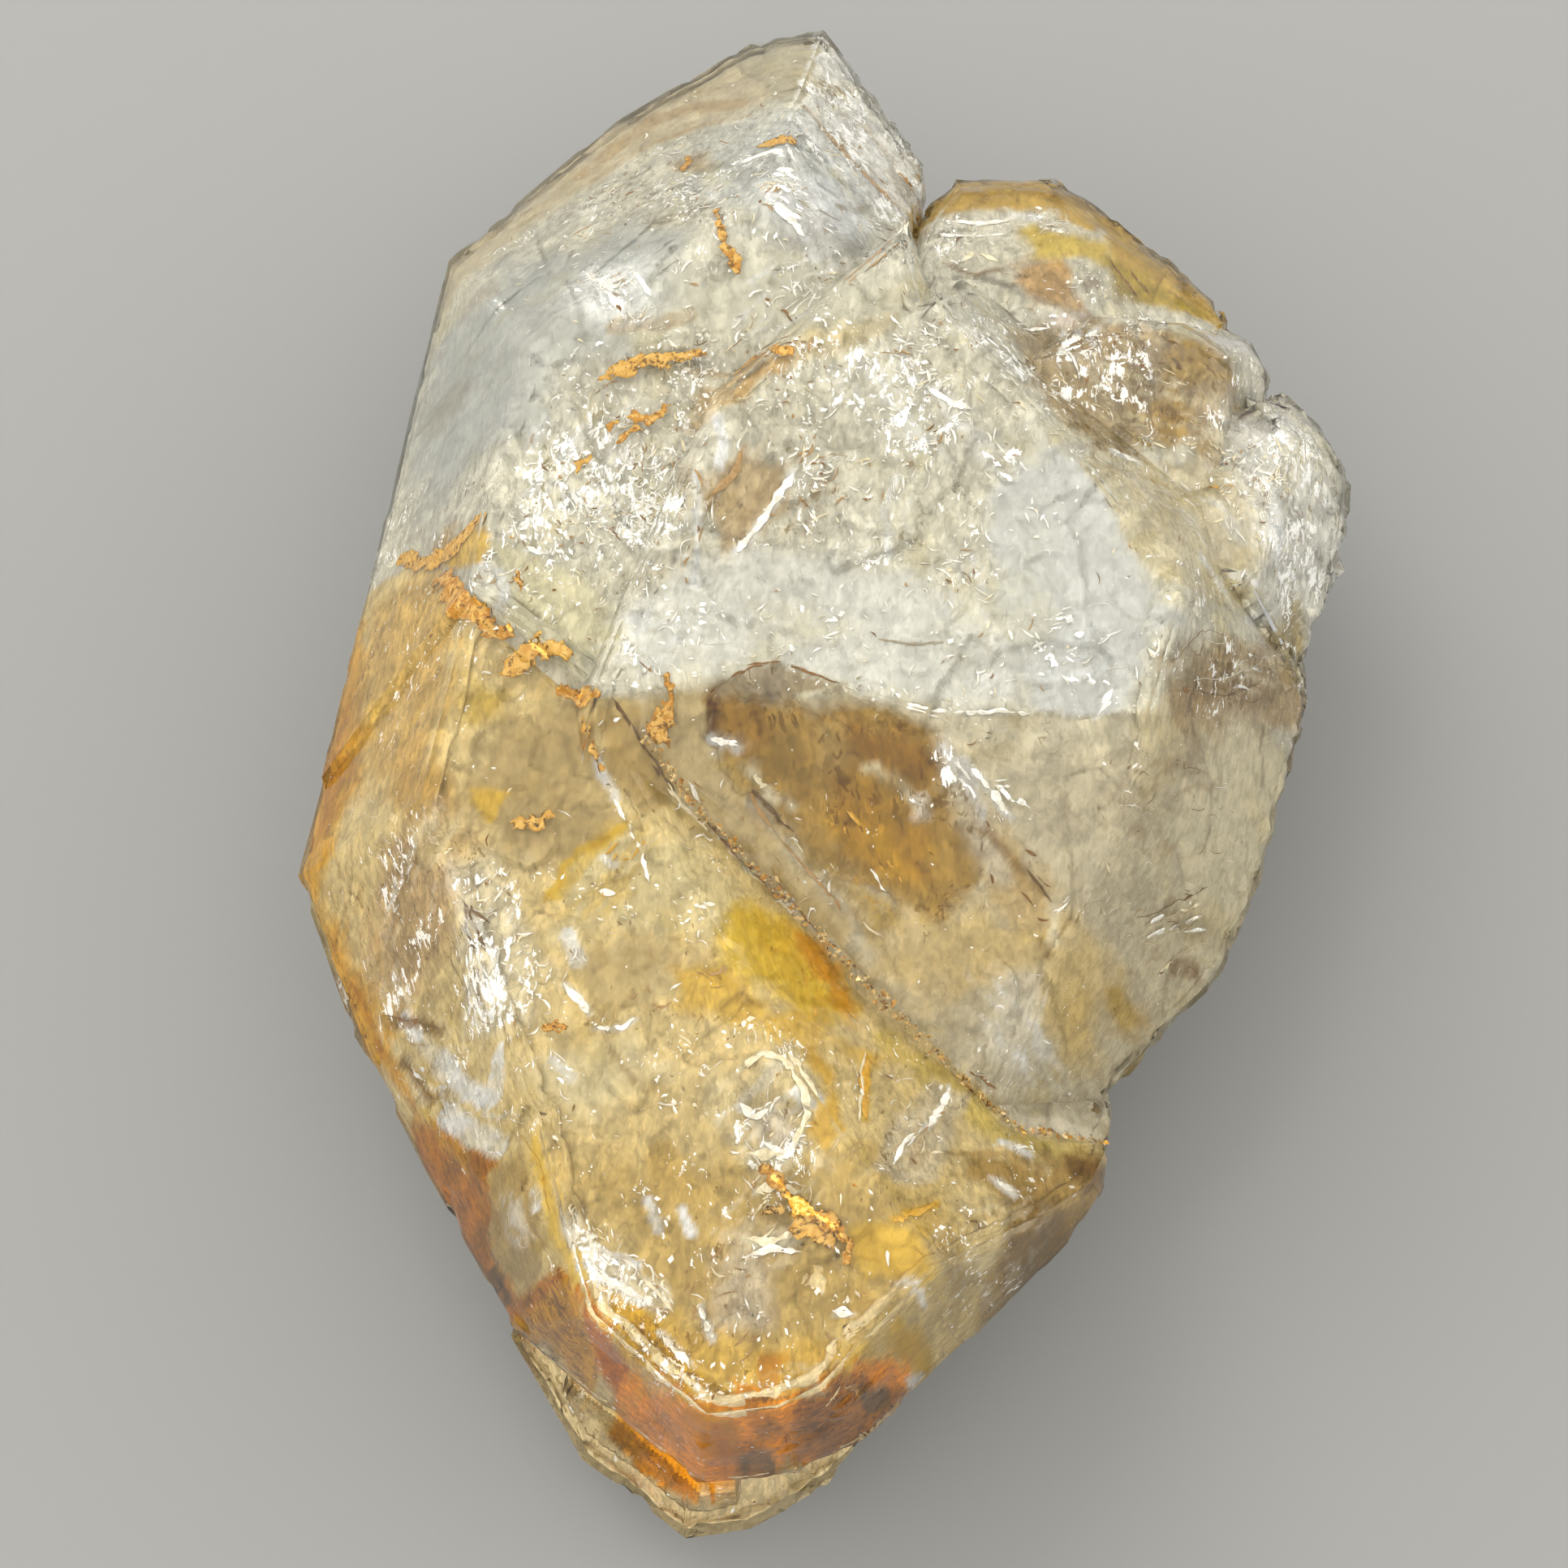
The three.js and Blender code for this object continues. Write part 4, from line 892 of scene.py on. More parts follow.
def aroundZone(flat, outline, margin):
    if isinstance(outline, tuple):
        corners = np.array([(outline[0] - outline[2], outline[1] - outline[2]),
                            (outline[0] + outline[2], outline[1] + outline[2])])
    else:
        corners = np.array([corner[:2] for corner in outline], float)
    low, high = corners.min(0) - margin, corners.max(0) + margin
    return np.nonzero(((flat[:, :2] > low) & (flat[:, :2] < high)).all(1))[0]


def paintCloud(flat):
    # flat holds places on the skin in mm
    # gives added depth, clearness, grit, how many pale and dark flakes there are, and the colour
    wander = fractalNoise(flat, 2.6, 31, 4, 0.6)
    jag = fractalNoise(flat, 0.7, 41, 2, 0.7)
    other = fractalNoise(flat + 40, 2.2, 51, 3, 0.6)
    count = len(flat)
    depth, clear, grit = np.zeros(count), np.zeros(count), np.full(count, cloudSet["grit"])
    pale, dark = np.full(count, cloudSet["flakes"]), np.full(count, cloudSet["shade"])
    tint = np.tile(np.array(cloudSet["colour"]), (count, 1))

    # lays a colour over the cloud: stains, and also painted shade and painted glints
    def stainAndLightOver(near, amount, colour):
        tint[near] = tint[near] * (1 - amount[:, None]) + np.array(colour) * amount[:, None]

    for name, colour, strength, outline, soft, rag, *more in zones:
        special = more[0] if more else {}
        if isinstance(outline, list):
            outline = corners(outline)
        near = aroundZone(flat, outline, 2.5)
        edgeNoise = wander if len(name) % 2 else other      # two noises, so that not all edges wander alike
        cover = zoneCover(outline, soft, rag, flat[near], edgeNoise[near], jag[near])
        for values, key in ((clear, "clear"), (grit, "grit"), (pale, "flakes"), (dark, "shade")):
            if key in special:
                values[near] += (special[key] - values[near]) * cover
        depth[near] += special.get("depth", 0.0) * cover
        stainAndLightOver(near, cover * strength, linear(*colour))
    for ink, strength, (x, y, along, across), turn, width in fans:
        near = aroundZone(flat, (x, y, max(along, across)), 0.5)
        spot = flat[near, :2] - np.array((x, y))
        angle = math.radians(turn)
        u = spot[:, 0] * math.cos(angle) + spot[:, 1] * math.sin(angle)
        v = -spot[:, 0] * math.sin(angle) + spot[:, 1] * math.cos(angle)
        inside = ramp(1 - (u / along) ** 2 - (v / across) ** 2 + 0.35 * other[near], 0.0, 0.7)
        bend = v + 0.35 * wander[near]
        comb = smoothNoise(np.stack([u / 7 + 11 * turn, bend, u * 0], 1), width, 61)
        comb += 0.5 * smoothNoise(np.stack([u / 5, bend, u * 0 + turn], 1), width * 0.5, 62)
        kind = pale if ink in ("white", "cream") else dark
        kind[near] += 0.45 * strength * inside
        stainAndLightOver(near, 0.6 * strength * inside * ramp(comb, 0.05, 0.55), inks[ink])
    for ink, width, strength, row in strokes:
        if width < cloudSet["paintedFrom"]:
            continue
        line = corners(row)
        near = aroundZone(flat, line, width + 0.6)
        place = flat[near] + 0.10 * np.stack([jag[near], other[near] * 1.4, jag[near] * 0], 1)
        away = edgeDistance(place, line)
        half = width / 2 * (1 + 0.35 * wander[near])
        gaps = 0.75 + 0.45 * np.clip(jag[near] + 0.3, -1, 0.6)
        stainAndLightOver(near, (strength * gaps * ramp(half + 0.09 - away, 0.0, 0.16)).clip(0, 1), inks[ink])
    crowd = ramp(fractalNoise(flat, 2.6, 57, 4, 0.66), -0.5, 0.9)
    gather = ramp(fractalNoise(flat, 2.2, 58, 4, 0.66), -0.3, 0.9)
    pale = np.clip(pale * grit * (0.25 + 1.1 * crowd), 0, 1)
    dark = np.clip(dark * grit * (0.15 + 1.1 * gather), 0, 1)
    return depth, clear, grit, pale, dark, tint


def cloudParts():
    # heights, colours and grit of the fine upper side, and the rough lower side
    top = fine.shrink(fineTop, cloudSet["side"]) - (cloudSet["skin"] - cloudSet["side"])
    flat = fine.flat
    swept = flat + 0.5 * np.stack([smoothNoise(flat, 2.5, 51), smoothNoise(flat, 2.5, 52), flat[:, 2]], 1)
    bigHeight, bigTone, _ = shards(swept * (1, 0.7, 1), cloudSet["bigShard"], 3, cloudSet["bigTilt"])
    smallHeight, smallTone, _ = shards(swept, cloudSet["smallShard"], 8, cloudSet["smallTilt"])
    tinyHeight, tinyTone, _ = shards(swept, cloudSet["tinyShard"], 13, cloudSet["tinyTilt"])
    relief = bigHeight + smallHeight + tinyHeight + cloudSet["grain"] * fractalNoise(flat, 1.0, 21, 3)
    # each place of the cloud takes the stain and painted light of the skin that lies over it, square to the
    # skin
    slopeY, slopeX = np.gradient(np.where(top > -outside / 2, top, 0.0), fine.step)
    steep = 1 / np.sqrt(1 + slopeX ** 2 + slopeY ** 2)
    shiftX = np.clip(-slopeX * steep, -1, 1) * cloudSet["side"] * 1.3
    shiftY = np.clip(-slopeY * steep, -1, 1) * cloudSet["side"] * 1.3 - 0.15
    skinPlace = flat + np.stack([shiftX.ravel(), shiftY.ravel(), flat[:, 2]], 1)
    depth, clear, grit, pale, dark, tint = paintCloud(skinPlace)
    added = np.maximum(depth + relief, cloudSet["closest"] - cloudSet["skin"]).reshape(fine.shape)
    patches = fractalNoise(flat, 4.0, 71, 5, 0.66)
    rise = 0.35 + 0.65 * grit
    tones = 0.08 * (bigTone - 0.5) + 0.18 * (smallTone - 0.5) + 0.36 * (tinyTone - 0.5)
    tone = rise * (0.03 * patches + tones)
    tint = soaked(tint) * cloudSet["deepen"]
    warm = ramp(fractalNoise(flat, 3.0, 77, 5, 0.62), 0.3, 1.2)[:, None] * rise[:, None]
    tint = tint * (1 + tone)[:, None] * (1 - warm * (1 - np.array((0.95, 0.89, 0.70))))
    low = -rough.shrink(-skinLow, cloudSet["side"]) + (cloudSet["skin"] - cloudSet["side"])
    marks = np.stack([pale, dark, grit], 1).reshape(*fine.shape, 3)
    shift = np.stack([shiftX, shiftY], 2)
    tint = np.clip(tint, 0.004, 0.95).reshape(*fine.shape, 3)
    return top - added, tint, marks, clear.reshape(fine.shape), low, shift


def cappedTop(tops, middles, level):
    # the upper side of a cloud, closed underneath by one wide hollow cone of long triangles
    points, faces = pinchedGrid(tops, middles, level)
    upper = faces[:len(faces) // 2]
    used = np.unique(upper)
    renumber = -np.ones(len(points), int)
    renumber[used] = np.arange(len(used))
    points, upper = points[used], renumber[upper]
    edges = np.stack([upper, np.roll(upper, -1, 1)], 2).reshape(-1, 2)
    codes = edges[:, 0] * len(points) + edges[:, 1]
    rimEdges = edges[~np.isin(codes, edges[:, 1] * len(points) + edges[:, 0])].tolist()
    onward = {}
    for start, end in rimEdges:
        onward.setdefault(start, []).append(end)
    allFaces, centres = upper.tolist(), []
    while onward:
        start = next(iter(onward))
        loop = [start]
        while True:
            ends = onward[loop[-1]]
            after = ends.pop()
            if not ends:
                del onward[loop[-1]]
            if after == start:
                break
            loop.append(after)
        centre = points[loop].mean(0)
        centre[2] = 9.0 if len(loop) > 400 else centre[2] - 0.4
        centreId = len(points) + len(centres)
        centres.append(centre)
        allFaces.extend([b, a, centreId] for a, b in zip(loop, loop[1:] + loop[:1]))
    print("upper cloud closed underneath, %d rims" % len(centres))
    return np.concatenate([points, centres]), allFaces


def keptInside(points, gap):
    # draws in the points that come too near to the skin, or lie outside it
    kept = points.copy()
    for index, point in enumerate(points):
        place, normal, _, away = cadTree.find_nearest(Vector(point) * mm)
        if (Vector(point) * mm - place).dot(normal) > -gap * mm:
            kept[index] = np.array(place - normal * (gap * mm)) / mm
    return kept


def soaked(tint):
    # light goes through honey quartz several times: answer with more red and less blue where it is stained
    blueShare = (tint[:, 2] / tint[:, 0])[:, None]
    answer = np.concatenate([1.0 + 0.22 * (1 - blueShare), 1.02 + 0.20 * (1 - blueShare),
                             1.06 - 1.6 * np.clip(0.42 - blueShare, 0, 0.42)], 1)
    return tint * answer


def layersAt(layers, x, y):
    return np.stack([fine.sample(layers[:, :, number], x, y) for number in range(layers.shape[2])], 1)


def tintAt(x, y):
    return layersAt(cloudTint, x, y)


def marksAt(x, y):
    return layersAt(cloudMarks, x, y)


def milkyQuartz():
    n = Nodes("milkyQuartz")
    stain = n.painted("stain")
    many, shady, grit = n.split(n.painted("marks"))
    streaky = n.stretched(35, (1.0, 0.5, 1.0))
    flake = n.add("ShaderNodeTexNoise", {
        "Vector": streaky, "Scale": 1 / (0.44 * mm), "Detail": 3.0, "Roughness": 0.72, "Distortion": 0.6})
    paleNoise, darkNoise, slowNoise = n.split(flake.outputs["Color"])
    crustPlace = n.vector("ADD", streaky, n.vector("SCALE", flake.outputs["Color"], 0.5 * mm))
    crust = n.add("ShaderNodeTexVoronoi", {"Vector": crustPlace, "Scale": 1 / (0.34 * mm)})
    crustTone, crustGloss, _ = n.split(crust.outputs["Color"])
    # small plates a little lighter or darker than the stain
    swing = n.math("ADD", n.band(slowNoise, 0.42, 0.58, -0.15, 0.12),
                   n.math("MULTIPLY", n.math("SUBTRACT", crustTone, 0.5), 0.32))
    level = n.math("ADD", n.math("MULTIPLY", swing, n.math("ADD", n.math("MULTIPLY", grit, 0.9), 0.2)), 0.98)
    base = n.vector("SCALE", stain, level)
    # dark flakes, then pale ones over them; the pale flakes are milky specks that also stand in as painted
    # glints
    deep = n.vector("MULTIPLY", stain, cloudSet["darkFlake"])
    darkHere = n.math("ADD", darkNoise, n.math("MULTIPLY", shady, 0.20))
    base = n.mix(n.band(darkHere, 0.73, 0.76, 0.0, 0.9), base, deep)
    white = n.mix(0.9, stain, solid(cloudSet["paleFlake"]))
    milkAndGlintHere = n.math("ADD", paleNoise, n.math("MULTIPLY", many, 0.235))
    base = n.mix(n.band(milkAndGlintHere, 0.745, 0.77, 0.0, 1.0), base, white)
    bump = n.add("ShaderNodeBump", {"Height": paleNoise, "Strength": 0.8, "Distance": 0.12 * mm})
    return n.surface({
        "Base Color": base, "Roughness": n.band(crustGloss, 0.0, 1.0, 0.3, 0.6),
        "Normal": bump.outputs["Normal"]}, {"Specular IOR Level": 0.08})


cloudTop, cloudTint, cloudMarks, cloudClear, cloudLow, cloudShift = cloudParts()
print("cloud painted")
cloudShader = milkyQuartz()
slopeY, slopeX = np.gradient(np.where(cloudTop > 0, cloudTop, 0.0), fine.step)
cloudSteep = np.hypot(slopeX, slopeY)
# heights beyond the outline follow the nearest ones inside it, so that the rim stays level
lowOnFine = rough.sample(np.minimum(cloudLow, 30.0), fine.gridX, fine.gridY)
inPlan = (cloudTop > 2.0) & (cloudTop - lowOnFine > 0.5)
level = np.where(inPlan, cloudTop - lowOnFine - 0.5, -1.0)
reach = np.pad(np.where(inPlan, cloudTop, -outside), 1, constant_values=-outside)
nearTop = np.max([reach[1 + i:1 + i + fine.shape[0], 1 + j:1 + j + fine.shape[1]]
                  for i in (-1, 0, 1) for j in (-1, 0, 1)], 0)
safeTop = np.where(inPlan, cloudTop, nearTop - 0.1)
safeLow = np.where(inPlan, lowOnFine, nearTop - 0.2)
topPoints, topFaces = cappedTop(np.stack([fine.gridX, fine.gridY, safeTop], 2),
                                np.stack([fine.gridX, fine.gridY, (safeTop + safeLow) / 2], 2), level)
topPoints = keptInside(topPoints, cloudSet["side"])
topX, topY = topPoints[:, 0], topPoints[:, 1]
upperPart = (topPoints, topFaces, topX * 0, tintAt(topX, topY), marksAt(topX, topY))
fracturePiece("upperCloud", [upperPart], cloudShader, True)


# the clear body

bodySet = {
    "longestEdge": 0.52,      # mm, of the fine mesh
    "waviness": 0.07,         # mm
    "refraction": 1.544,
    "glossTint": (0.55, 0.50, 0.42, 1.0),      # dims and warms what the skin mirrors
    "absorbColour": (0.96, 0.86, 0.66, 1.0),
    "absorbDensity": 8.0,     # per metre
    "sharpAngle": 13,         # degrees, edges from here up stay crisp
    "chipAngle": 14,          # edges from here up are chipped
    "chipDepth": 0.35, "chipReach": 0.40,      # mm
}


def cleanSource():
    # the cluster's facets as whole flat faces
    work = bmesh.new()
    work.from_mesh(cadNode.data)
    bmesh.ops.remove_doubles(work, verts=work.verts, dist=1e-6)
    bmesh.ops.dissolve_limit(work, angle_limit=math.radians(0.3), verts=work.verts, edges=work.edges)
    work.verts.ensure_lookup_table()
    return work


def fineMesh():
    # every facet filled with even small triangles, joined along shared edges
    work = cleanSource()
    limit = bodySet["longestEdge"] * mm
    points = [vert.co.copy() for vert in work.verts]
    along = {}
    for edge in work.edges:
        a, b = edge.verts
        count = max(1, math.ceil(edge.calc_length() / limit))
        ids = [a.index]
        for i in range(1, count):
            ids.append(len(points))
            points.append(a.co.lerp(b.co, i / count))
        along[edge.index] = ids + [b.index]
    faces = []
    for face in work.faces:
        ring = []
        for loop in face.loops:
            ids = along[loop.edge.index]
            ring += ids[:-1] if ids[0] == loop.vert.index else ids[:0:-1]
        side = (points[ring[1]] - points[ring[0]]).normalized()
        other = face.normal.cross(side)
        origin = points[ring[0]]
        flat = np.array([((points[i] - origin).dot(side), (points[i] - origin).dot(other)) for i in ring])
        low, high = flat.min(0), flat.max(0)
        rows = np.arange(low[1], high[1], limit * 0.866)
        inner = []
        for number, v in enumerate(rows):
            u = np.arange(low[0] + limit * 0.5 * (number % 2), high[0], limit)
            inner.append(np.stack([u, np.full(len(u), v)], 1))
        inner = np.concatenate(inner) if inner else np.zeros((0, 2))
        outline = [tuple(p) for p in flat]
        inner = inner[insideOutline(inner, outline) > limit * 0.55] if len(inner) else inner
        flatPoints = [Vector(p) for p in flat] + [Vector(p) for p in inner]
        ids = ring + list(range(len(points), len(points) + len(inner)))
        points += [origin + side * float(u) + other * float(v) for u, v in inner]
        made = delaunay_2d_cdt(flatPoints, [], [list(range(len(ring)))], 1, 1e-9)
        sources = [ids[origins[0]] for origins in made[3]]
        faces += [[sources[i] for i in triangle] for triangle in made[2]]
    work.free()
    mesh = bpy.data.meshes.new("quartzBody")
    mesh.from_pydata([tuple(p) for p in points], [], faces)
    mesh.update()
    return mesh


def sharpEdgeTree(angleDegrees):
    work = cleanSource()
    samples = []
    for edge in work.edges:
        if len(edge.link_faces) == 2 and edge.calc_face_angle() > math.radians(angleDegrees):
            a, b = edge.verts[0].co, edge.verts[1].co
            count = int(edge.calc_length() / (0.3 * mm)) + 1
            samples += [a.lerp(b, i / count) for i in range(count + 1)]
    work.free()
    tree = KDTree(len(samples))
    for index, place in enumerate(samples):
        tree.insert(place, index)
    tree.balance()
    return tree


knobbly = [
    # rough swollen places: line of corners, reach, height of the knobs, their size
    ([(21.0, 22.0), (24.0, 18.5), (26.5, 16.5), (27.6, 11.0), (25.2, 3.5), (24.4, 1.0)], 2.6, 0.30, 1.5),
    ([(25.0, 2.0), (22.0, -8.8), (19.6, -14.0)], 1.2, 0.22, 1.3),
    ([(-0.5, 39.0), (5.2, 32.5), (5.2, 28.0)], 2.2, 0.20, 1.0),
    ([(6.0, 30.5), (12.0, 30.8), (21.0, 22.6)], 1.6, 0.16, 1.6),
    ([(9.0, 15.0), (21.0, 16.0)], 3.5, 0.14, 1.4),
]
longSeam = [
    # the seam that slants across the middle, corners
    (-9.6, -5.5), (-7.3, -8.2), (-2.7, -12.6), (1.1, -16.4), (6.7, -21.4), (9.1, -23.1), (13.9, -22.8),
]
grooves = [
    # seams that run over the skin: corners, half width, depth
    (longSeam, 0.42, 0.30),
    ([(-22.9, 7.7), (-19.2, 4.2), (-17.8, 1.0), (-15.3, -0.9), (-12.9, -3.1), (-11.6, -4.6)], 0.55, 0.32),
    ([(3.6, 23.6), (1.2, 20.8), (-2.2, 17.6), (-6.0, 15.2), (-7.6, 12.0)], 0.5, 0.22),
    ([(-12.4, -5.5), (-10.8, -8.8), (-9.2, -12.0)], 0.4, 0.16),
    ([(-3.3, -27.2), (-1.9, -28.6), (-0.2, -29.7), (0.4, -31.6)], 0.6, 0.45),
    ([(-4.4, -29.2), (-1.9, -28.7)], 0.45, 0.30),
    ([(-14.6, -24.4), (-14.2, -26.9), (-13.2, -30.6)], 0.5, 0.28),
    ([(8.0, 18.6), (14.0, 18.2), (20.6, 17.8)], 0.5, 0.25),
    ([(10.5, 9.3), (13.0, 9.5), (19.0, 9.4)], 0.4, 0.15),
]


def addRelief(mesh):
    points = meshPoints(mesh)
    normals = pointNormals(mesh)
    lift = bodySet["waviness"] * fractalNoise(points, 7.0, 11, 3)
    shardHeight, _, _ = shards(points, 3.4, 17, 0.05)
    lift += shardHeight * ramp(fractalNoise(points, 9.0, 71, 2), 0.0, 0.6)
    for line, reach, height, size in knobbly:
        cover = ramp(edgeDistance(points, line), reach, reach * 0.5)
        bumps, _, _ = shards(points, size, 23, 0.45)
        lift += cover * height * (bumps / size * 2.2 + 0.5 * fractalNoise(points, size, 29, 2))
    for line, half, depth in grooves:
        upper = points[:, 2] > 12
        wander = 0.35 * fractalNoise(points, 2.0, 37, 3)
        distance = np.abs(edgeDistance(points, line) + wander * 0.6)
        lift -= depth * np.exp(-(distance / half) ** 2) * upper
    tree = sharpEdgeTree(bodySet["chipAngle"])
    toEdge = np.array([tree.find(Vector(point) * mm)[2] for point in points]) / mm
    chip = bodySet["chipDepth"] * ramp(fractalNoise(points, 3.5, 41, 4, 0.65), 0.15, 0.9)
    lift -= chip * np.exp(-(toEdge / bodySet["chipReach"]) ** 2)
    moved = points + normals * lift[:, None]
    moved[:, 2] = np.where(points[:, 2] < 0.02, np.maximum(points[:, 2], 0), np.maximum(moved[:, 2], 0.0))
    setPoints(mesh, moved)


def clearQuartz():
    n = Nodes("clearQuartz")
    haze = n.painted("tone", "Fac")
    striae = n.noise(1.6, 2.0, 0.5, 0.0, n.stretched(10, (0.5, 1.0, 1.0)))
    bump = n.add("ShaderNodeBump", {"Height": striae, "Strength": 0.22, "Distance": 0.08 * mm})
    tint = n.mix(haze, solid((0.995, 0.99, 0.975)), solid((0.985, 0.965, 0.91)))
    absorb = n.add("ShaderNodeVolumeAbsorption")
    absorb.inputs["Color"].default_value = bodySet["absorbColour"]
    absorb.inputs["Density"].default_value = bodySet["absorbDensity"]
    n.put(n.output.inputs["Volume"], absorb.outputs["Volume"])
    linked = {"Base Color": tint, "Roughness": n.band(haze, 0.55, 1.0, 0.0, 0.10),
              "Normal": bump.outputs["Normal"]}
    return n.surface(linked, {"Transmission Weight": 1.0, "IOR": bodySet["refraction"],
                              "Specular Tint": bodySet["glossTint"]})


bodyMesh = fineMesh()
addRelief(bodyMesh)
bodyPoints = meshPoints(bodyMesh)
bodyHaze = ramp(fractalNoise(bodyPoints, 3.4, 81, 4, 0.6), -0.4, 1.2)
bodyMesh.attributes.new("tone", "FLOAT", "POINT").data.foreach_set("value", bodyHaze.astype(np.float32))
bodyMesh.polygons.foreach_set("use_smooth", [True] * len(bodyMesh.polygons))
bodyMesh.set_sharp_from_angle(angle=math.radians(bodySet["sharpAngle"]))
body = newPiece("quartzBody", bodyMesh, clearQuartz())
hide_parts("quartz_crystal")


# the cloud beside and underneath, one closed sheet drawn in from the skin

lowCloudSet = {
    "side": 0.50,            # mm inside walls and underside
    "below": 1.25,           # mm deeper where the upper cloud lies over it
    "shard": 2.4, "tilt": 0.15,
    # the flange colour is laid paler than the near end really is, painted light that lifts the shade under
    # the flange
    "flange": linear(228, 208, 160),     # the near end is greyer underneath than above
}


def innerSheet():
    points = meshPoints(bodyMesh)
    normals = pointNormals(bodyMesh)
    broken = shards(points, lowCloudSet["shard"], 19, lowCloudSet["tilt"])[0]
    depth = lowCloudSet["side"] + lowCloudSet["below"] * np.clip(normals[:, 2], 0, 1)
    depth = depth + np.clip(broken, -0.1, 0.4)
    return keptInside(points - normals * depth[:, None], cloudSet["side"])


lowPoints = innerSheet()
lowFaces = [list(face.vertices) for face in bodyMesh.polygons]
lowX, lowY = lowPoints[:, 0], lowPoints[:, 1]
# painted light: the underside of the near end is laid paler, lifting the shade under the flange
flangeShadeLift = (ramp(-lowY, 30.0, 33.0) * ramp(-lowX, -4.0, 0.0))[:, None]
lowStainAndLift = tintAt(lowX, lowY) * (1 - flangeShadeLift) + np.array(lowCloudSet["flange"]) * flangeShadeLift
lowPart = (lowPoints, lowFaces, lowX * 0, lowStainAndLift, marksAt(lowX, lowY))
fracturePiece("lowerCloud", [lowPart], cloudShader, True)
print("clouds reach from %.1f to %.1f mm up" % (lowPoints[:, 2].min(), topPoints[:, 2].max()))


# veins: thin ragged ribbons of healed crack that lie on the cloud; the white ones also stand in as painted
# glints

veinSet = {
    "step": 0.11,            # mm between rings of points
    "lift": 0.09,            # mm over the cloud
    "thick": 0.05,
    "fanLength": (0.3, 1.3),
    "fanWidth": (0.05, 0.15),
    "ribbonUpTo": 0.45,      # mm, drawn lines narrower than this lie as ribbons
    "nearest": -38,          # mm, none start nearer to the near end than this
    "ribbonInks": ("white", "cream", "gold", "tan"),
    "strongInk": 0.75,       # other inks need more strength than this
    "perSquare": 2.0,        # ribbons on a square millimetre of a fan
    "threads": 6200,         # more of them all over, where the cloud is broken
    "threadLength": (0.22, 1.1),
    "threadWidth": (0.04, 0.12),
    "threadStep": 0.15,
}


def veinRibbon(line, width, ink, number, gaps, step):
    corners = np.array(line, float)
    runs = np.linalg.norm(np.diff(corners, axis=0), axis=1)
    along = np.concatenate([[0.0], np.cumsum(runs)])
    count = max(4, int(along[-1] / step) + 1)
    walk = np.linspace(0, along[-1], count)
    middle = np.stack([np.interp(walk, along, corners[:, axis]) for axis in (0, 1)], 1)
    ahead = np.gradient(middle, axis=0)
    ahead /= np.maximum(np.linalg.norm(ahead, axis=1), 1e-9)[:, None]
    side = np.stack([-ahead[:, 1], ahead[:, 0]], 1)
    track = np.stack([walk, np.full(count, number * 3.1), walk * 0], 1)
    sway = 0.11 * smoothNoise(track, 1.3, 401) + 0.06 * smoothNoise(track, 0.4, 402)
    middle = middle + side * (sway * min(1.0, along[-1] / 2))[:, None]
    taper = np.clip(np.minimum(walk, along[-1] - walk) / min(0.5, along[-1] / 3), 0, 1) ** 0.6
    ragged = 1 + 0.55 * smoothNoise(track, 0.45, 403) + 0.35 * smoothNoise(track, 0.2, 404)
    unbroken = ramp(smoothNoise(track, 0.8, 405), -0.62 + gaps, -0.42 + gaps)
    flatEnough = ramp(fine.sample(cloudSteep, middle[:, 0], middle[:, 1]), 1.5, 1.0)
    half = np.maximum(width / 2 * taper * ragged * unbroken * flatEnough, 0.004)
    middle = middle - layersAt(cloudShift, middle[:, 0], middle[:, 1])
    ledge = width * 0.15 * smoothNoise(track, 0.3, 406)
    rings = []
    for across, rise in ((-1, 0.0), (0.2, 1.0), (1, 0.0)):
        place = middle + side * (across * half)[:, None]
        height = fine.sample(safeTop, place[:, 0], place[:, 1]) + veinSet["lift"] + rise * veinSet["thick"]
        rings.append(np.column_stack([place, height + across * ledge]))
    points = np.stack(rings, 1).reshape(-1, 3)
    first = np.arange(count - 1)[:, None] * 3
    faces = []
    for corner in range(3):
        after = (corner + 1) % 3
        quads = [first + corner, first + after, first + 3 + after, first + 3 + corner]
        faces.append(np.concatenate(quads, 1))
    if points[:, 2].min() < 6 or (np.abs(np.diff(points[:, 2].reshape(-1, 3), axis=0)) > 0.35).any():
        return None     # it would hang over an edge of the cloud
    last = (count - 1) * 3
    faces = np.concatenate(faces).tolist() + [[2, 1, 0], [last, last + 1, last + 2]]
    return points, faces, np.full(len(points), 0.5), np.tile(np.array(inks[ink]), (len(points), 1))


def fanRibbons(rng):
    made = []
    for ink, strength, (x, y, along, across), turn, width in fans:
        for _ in range(int(along * across * veinSet["perSquare"] * strength)):
            u, v = rng.uniform(-1, 1, 2)
            if u * u + v * v > 1:
                continue
            angle = math.radians(turn)
            px = x + u * along * 0.8 * math.cos(angle) - v * across * 0.8 * math.sin(angle)
            py = y + u * along * 0.8 * math.sin(angle) + v * across * 0.8 * math.cos(angle)
            way = angle + rng.normal(0, 0.22)
            bend = rng.normal(0, 0.35)
            length = rng.uniform(*veinSet["fanLength"]) ** 1.3
            line = [(px, py)]
            for part in range(3):
                px += math.cos(way + bend * part) * length / 3
                py += math.sin(way + bend * part) * length / 3
                line.append((px, py))
            if topAt(line[0][0], line[0][1]) > 2 and topAt(px, py) > 2:
                made.append((ink, rng.uniform(*veinSet["fanWidth"]) * (0.6 + 1.2 * width), line))
    return made


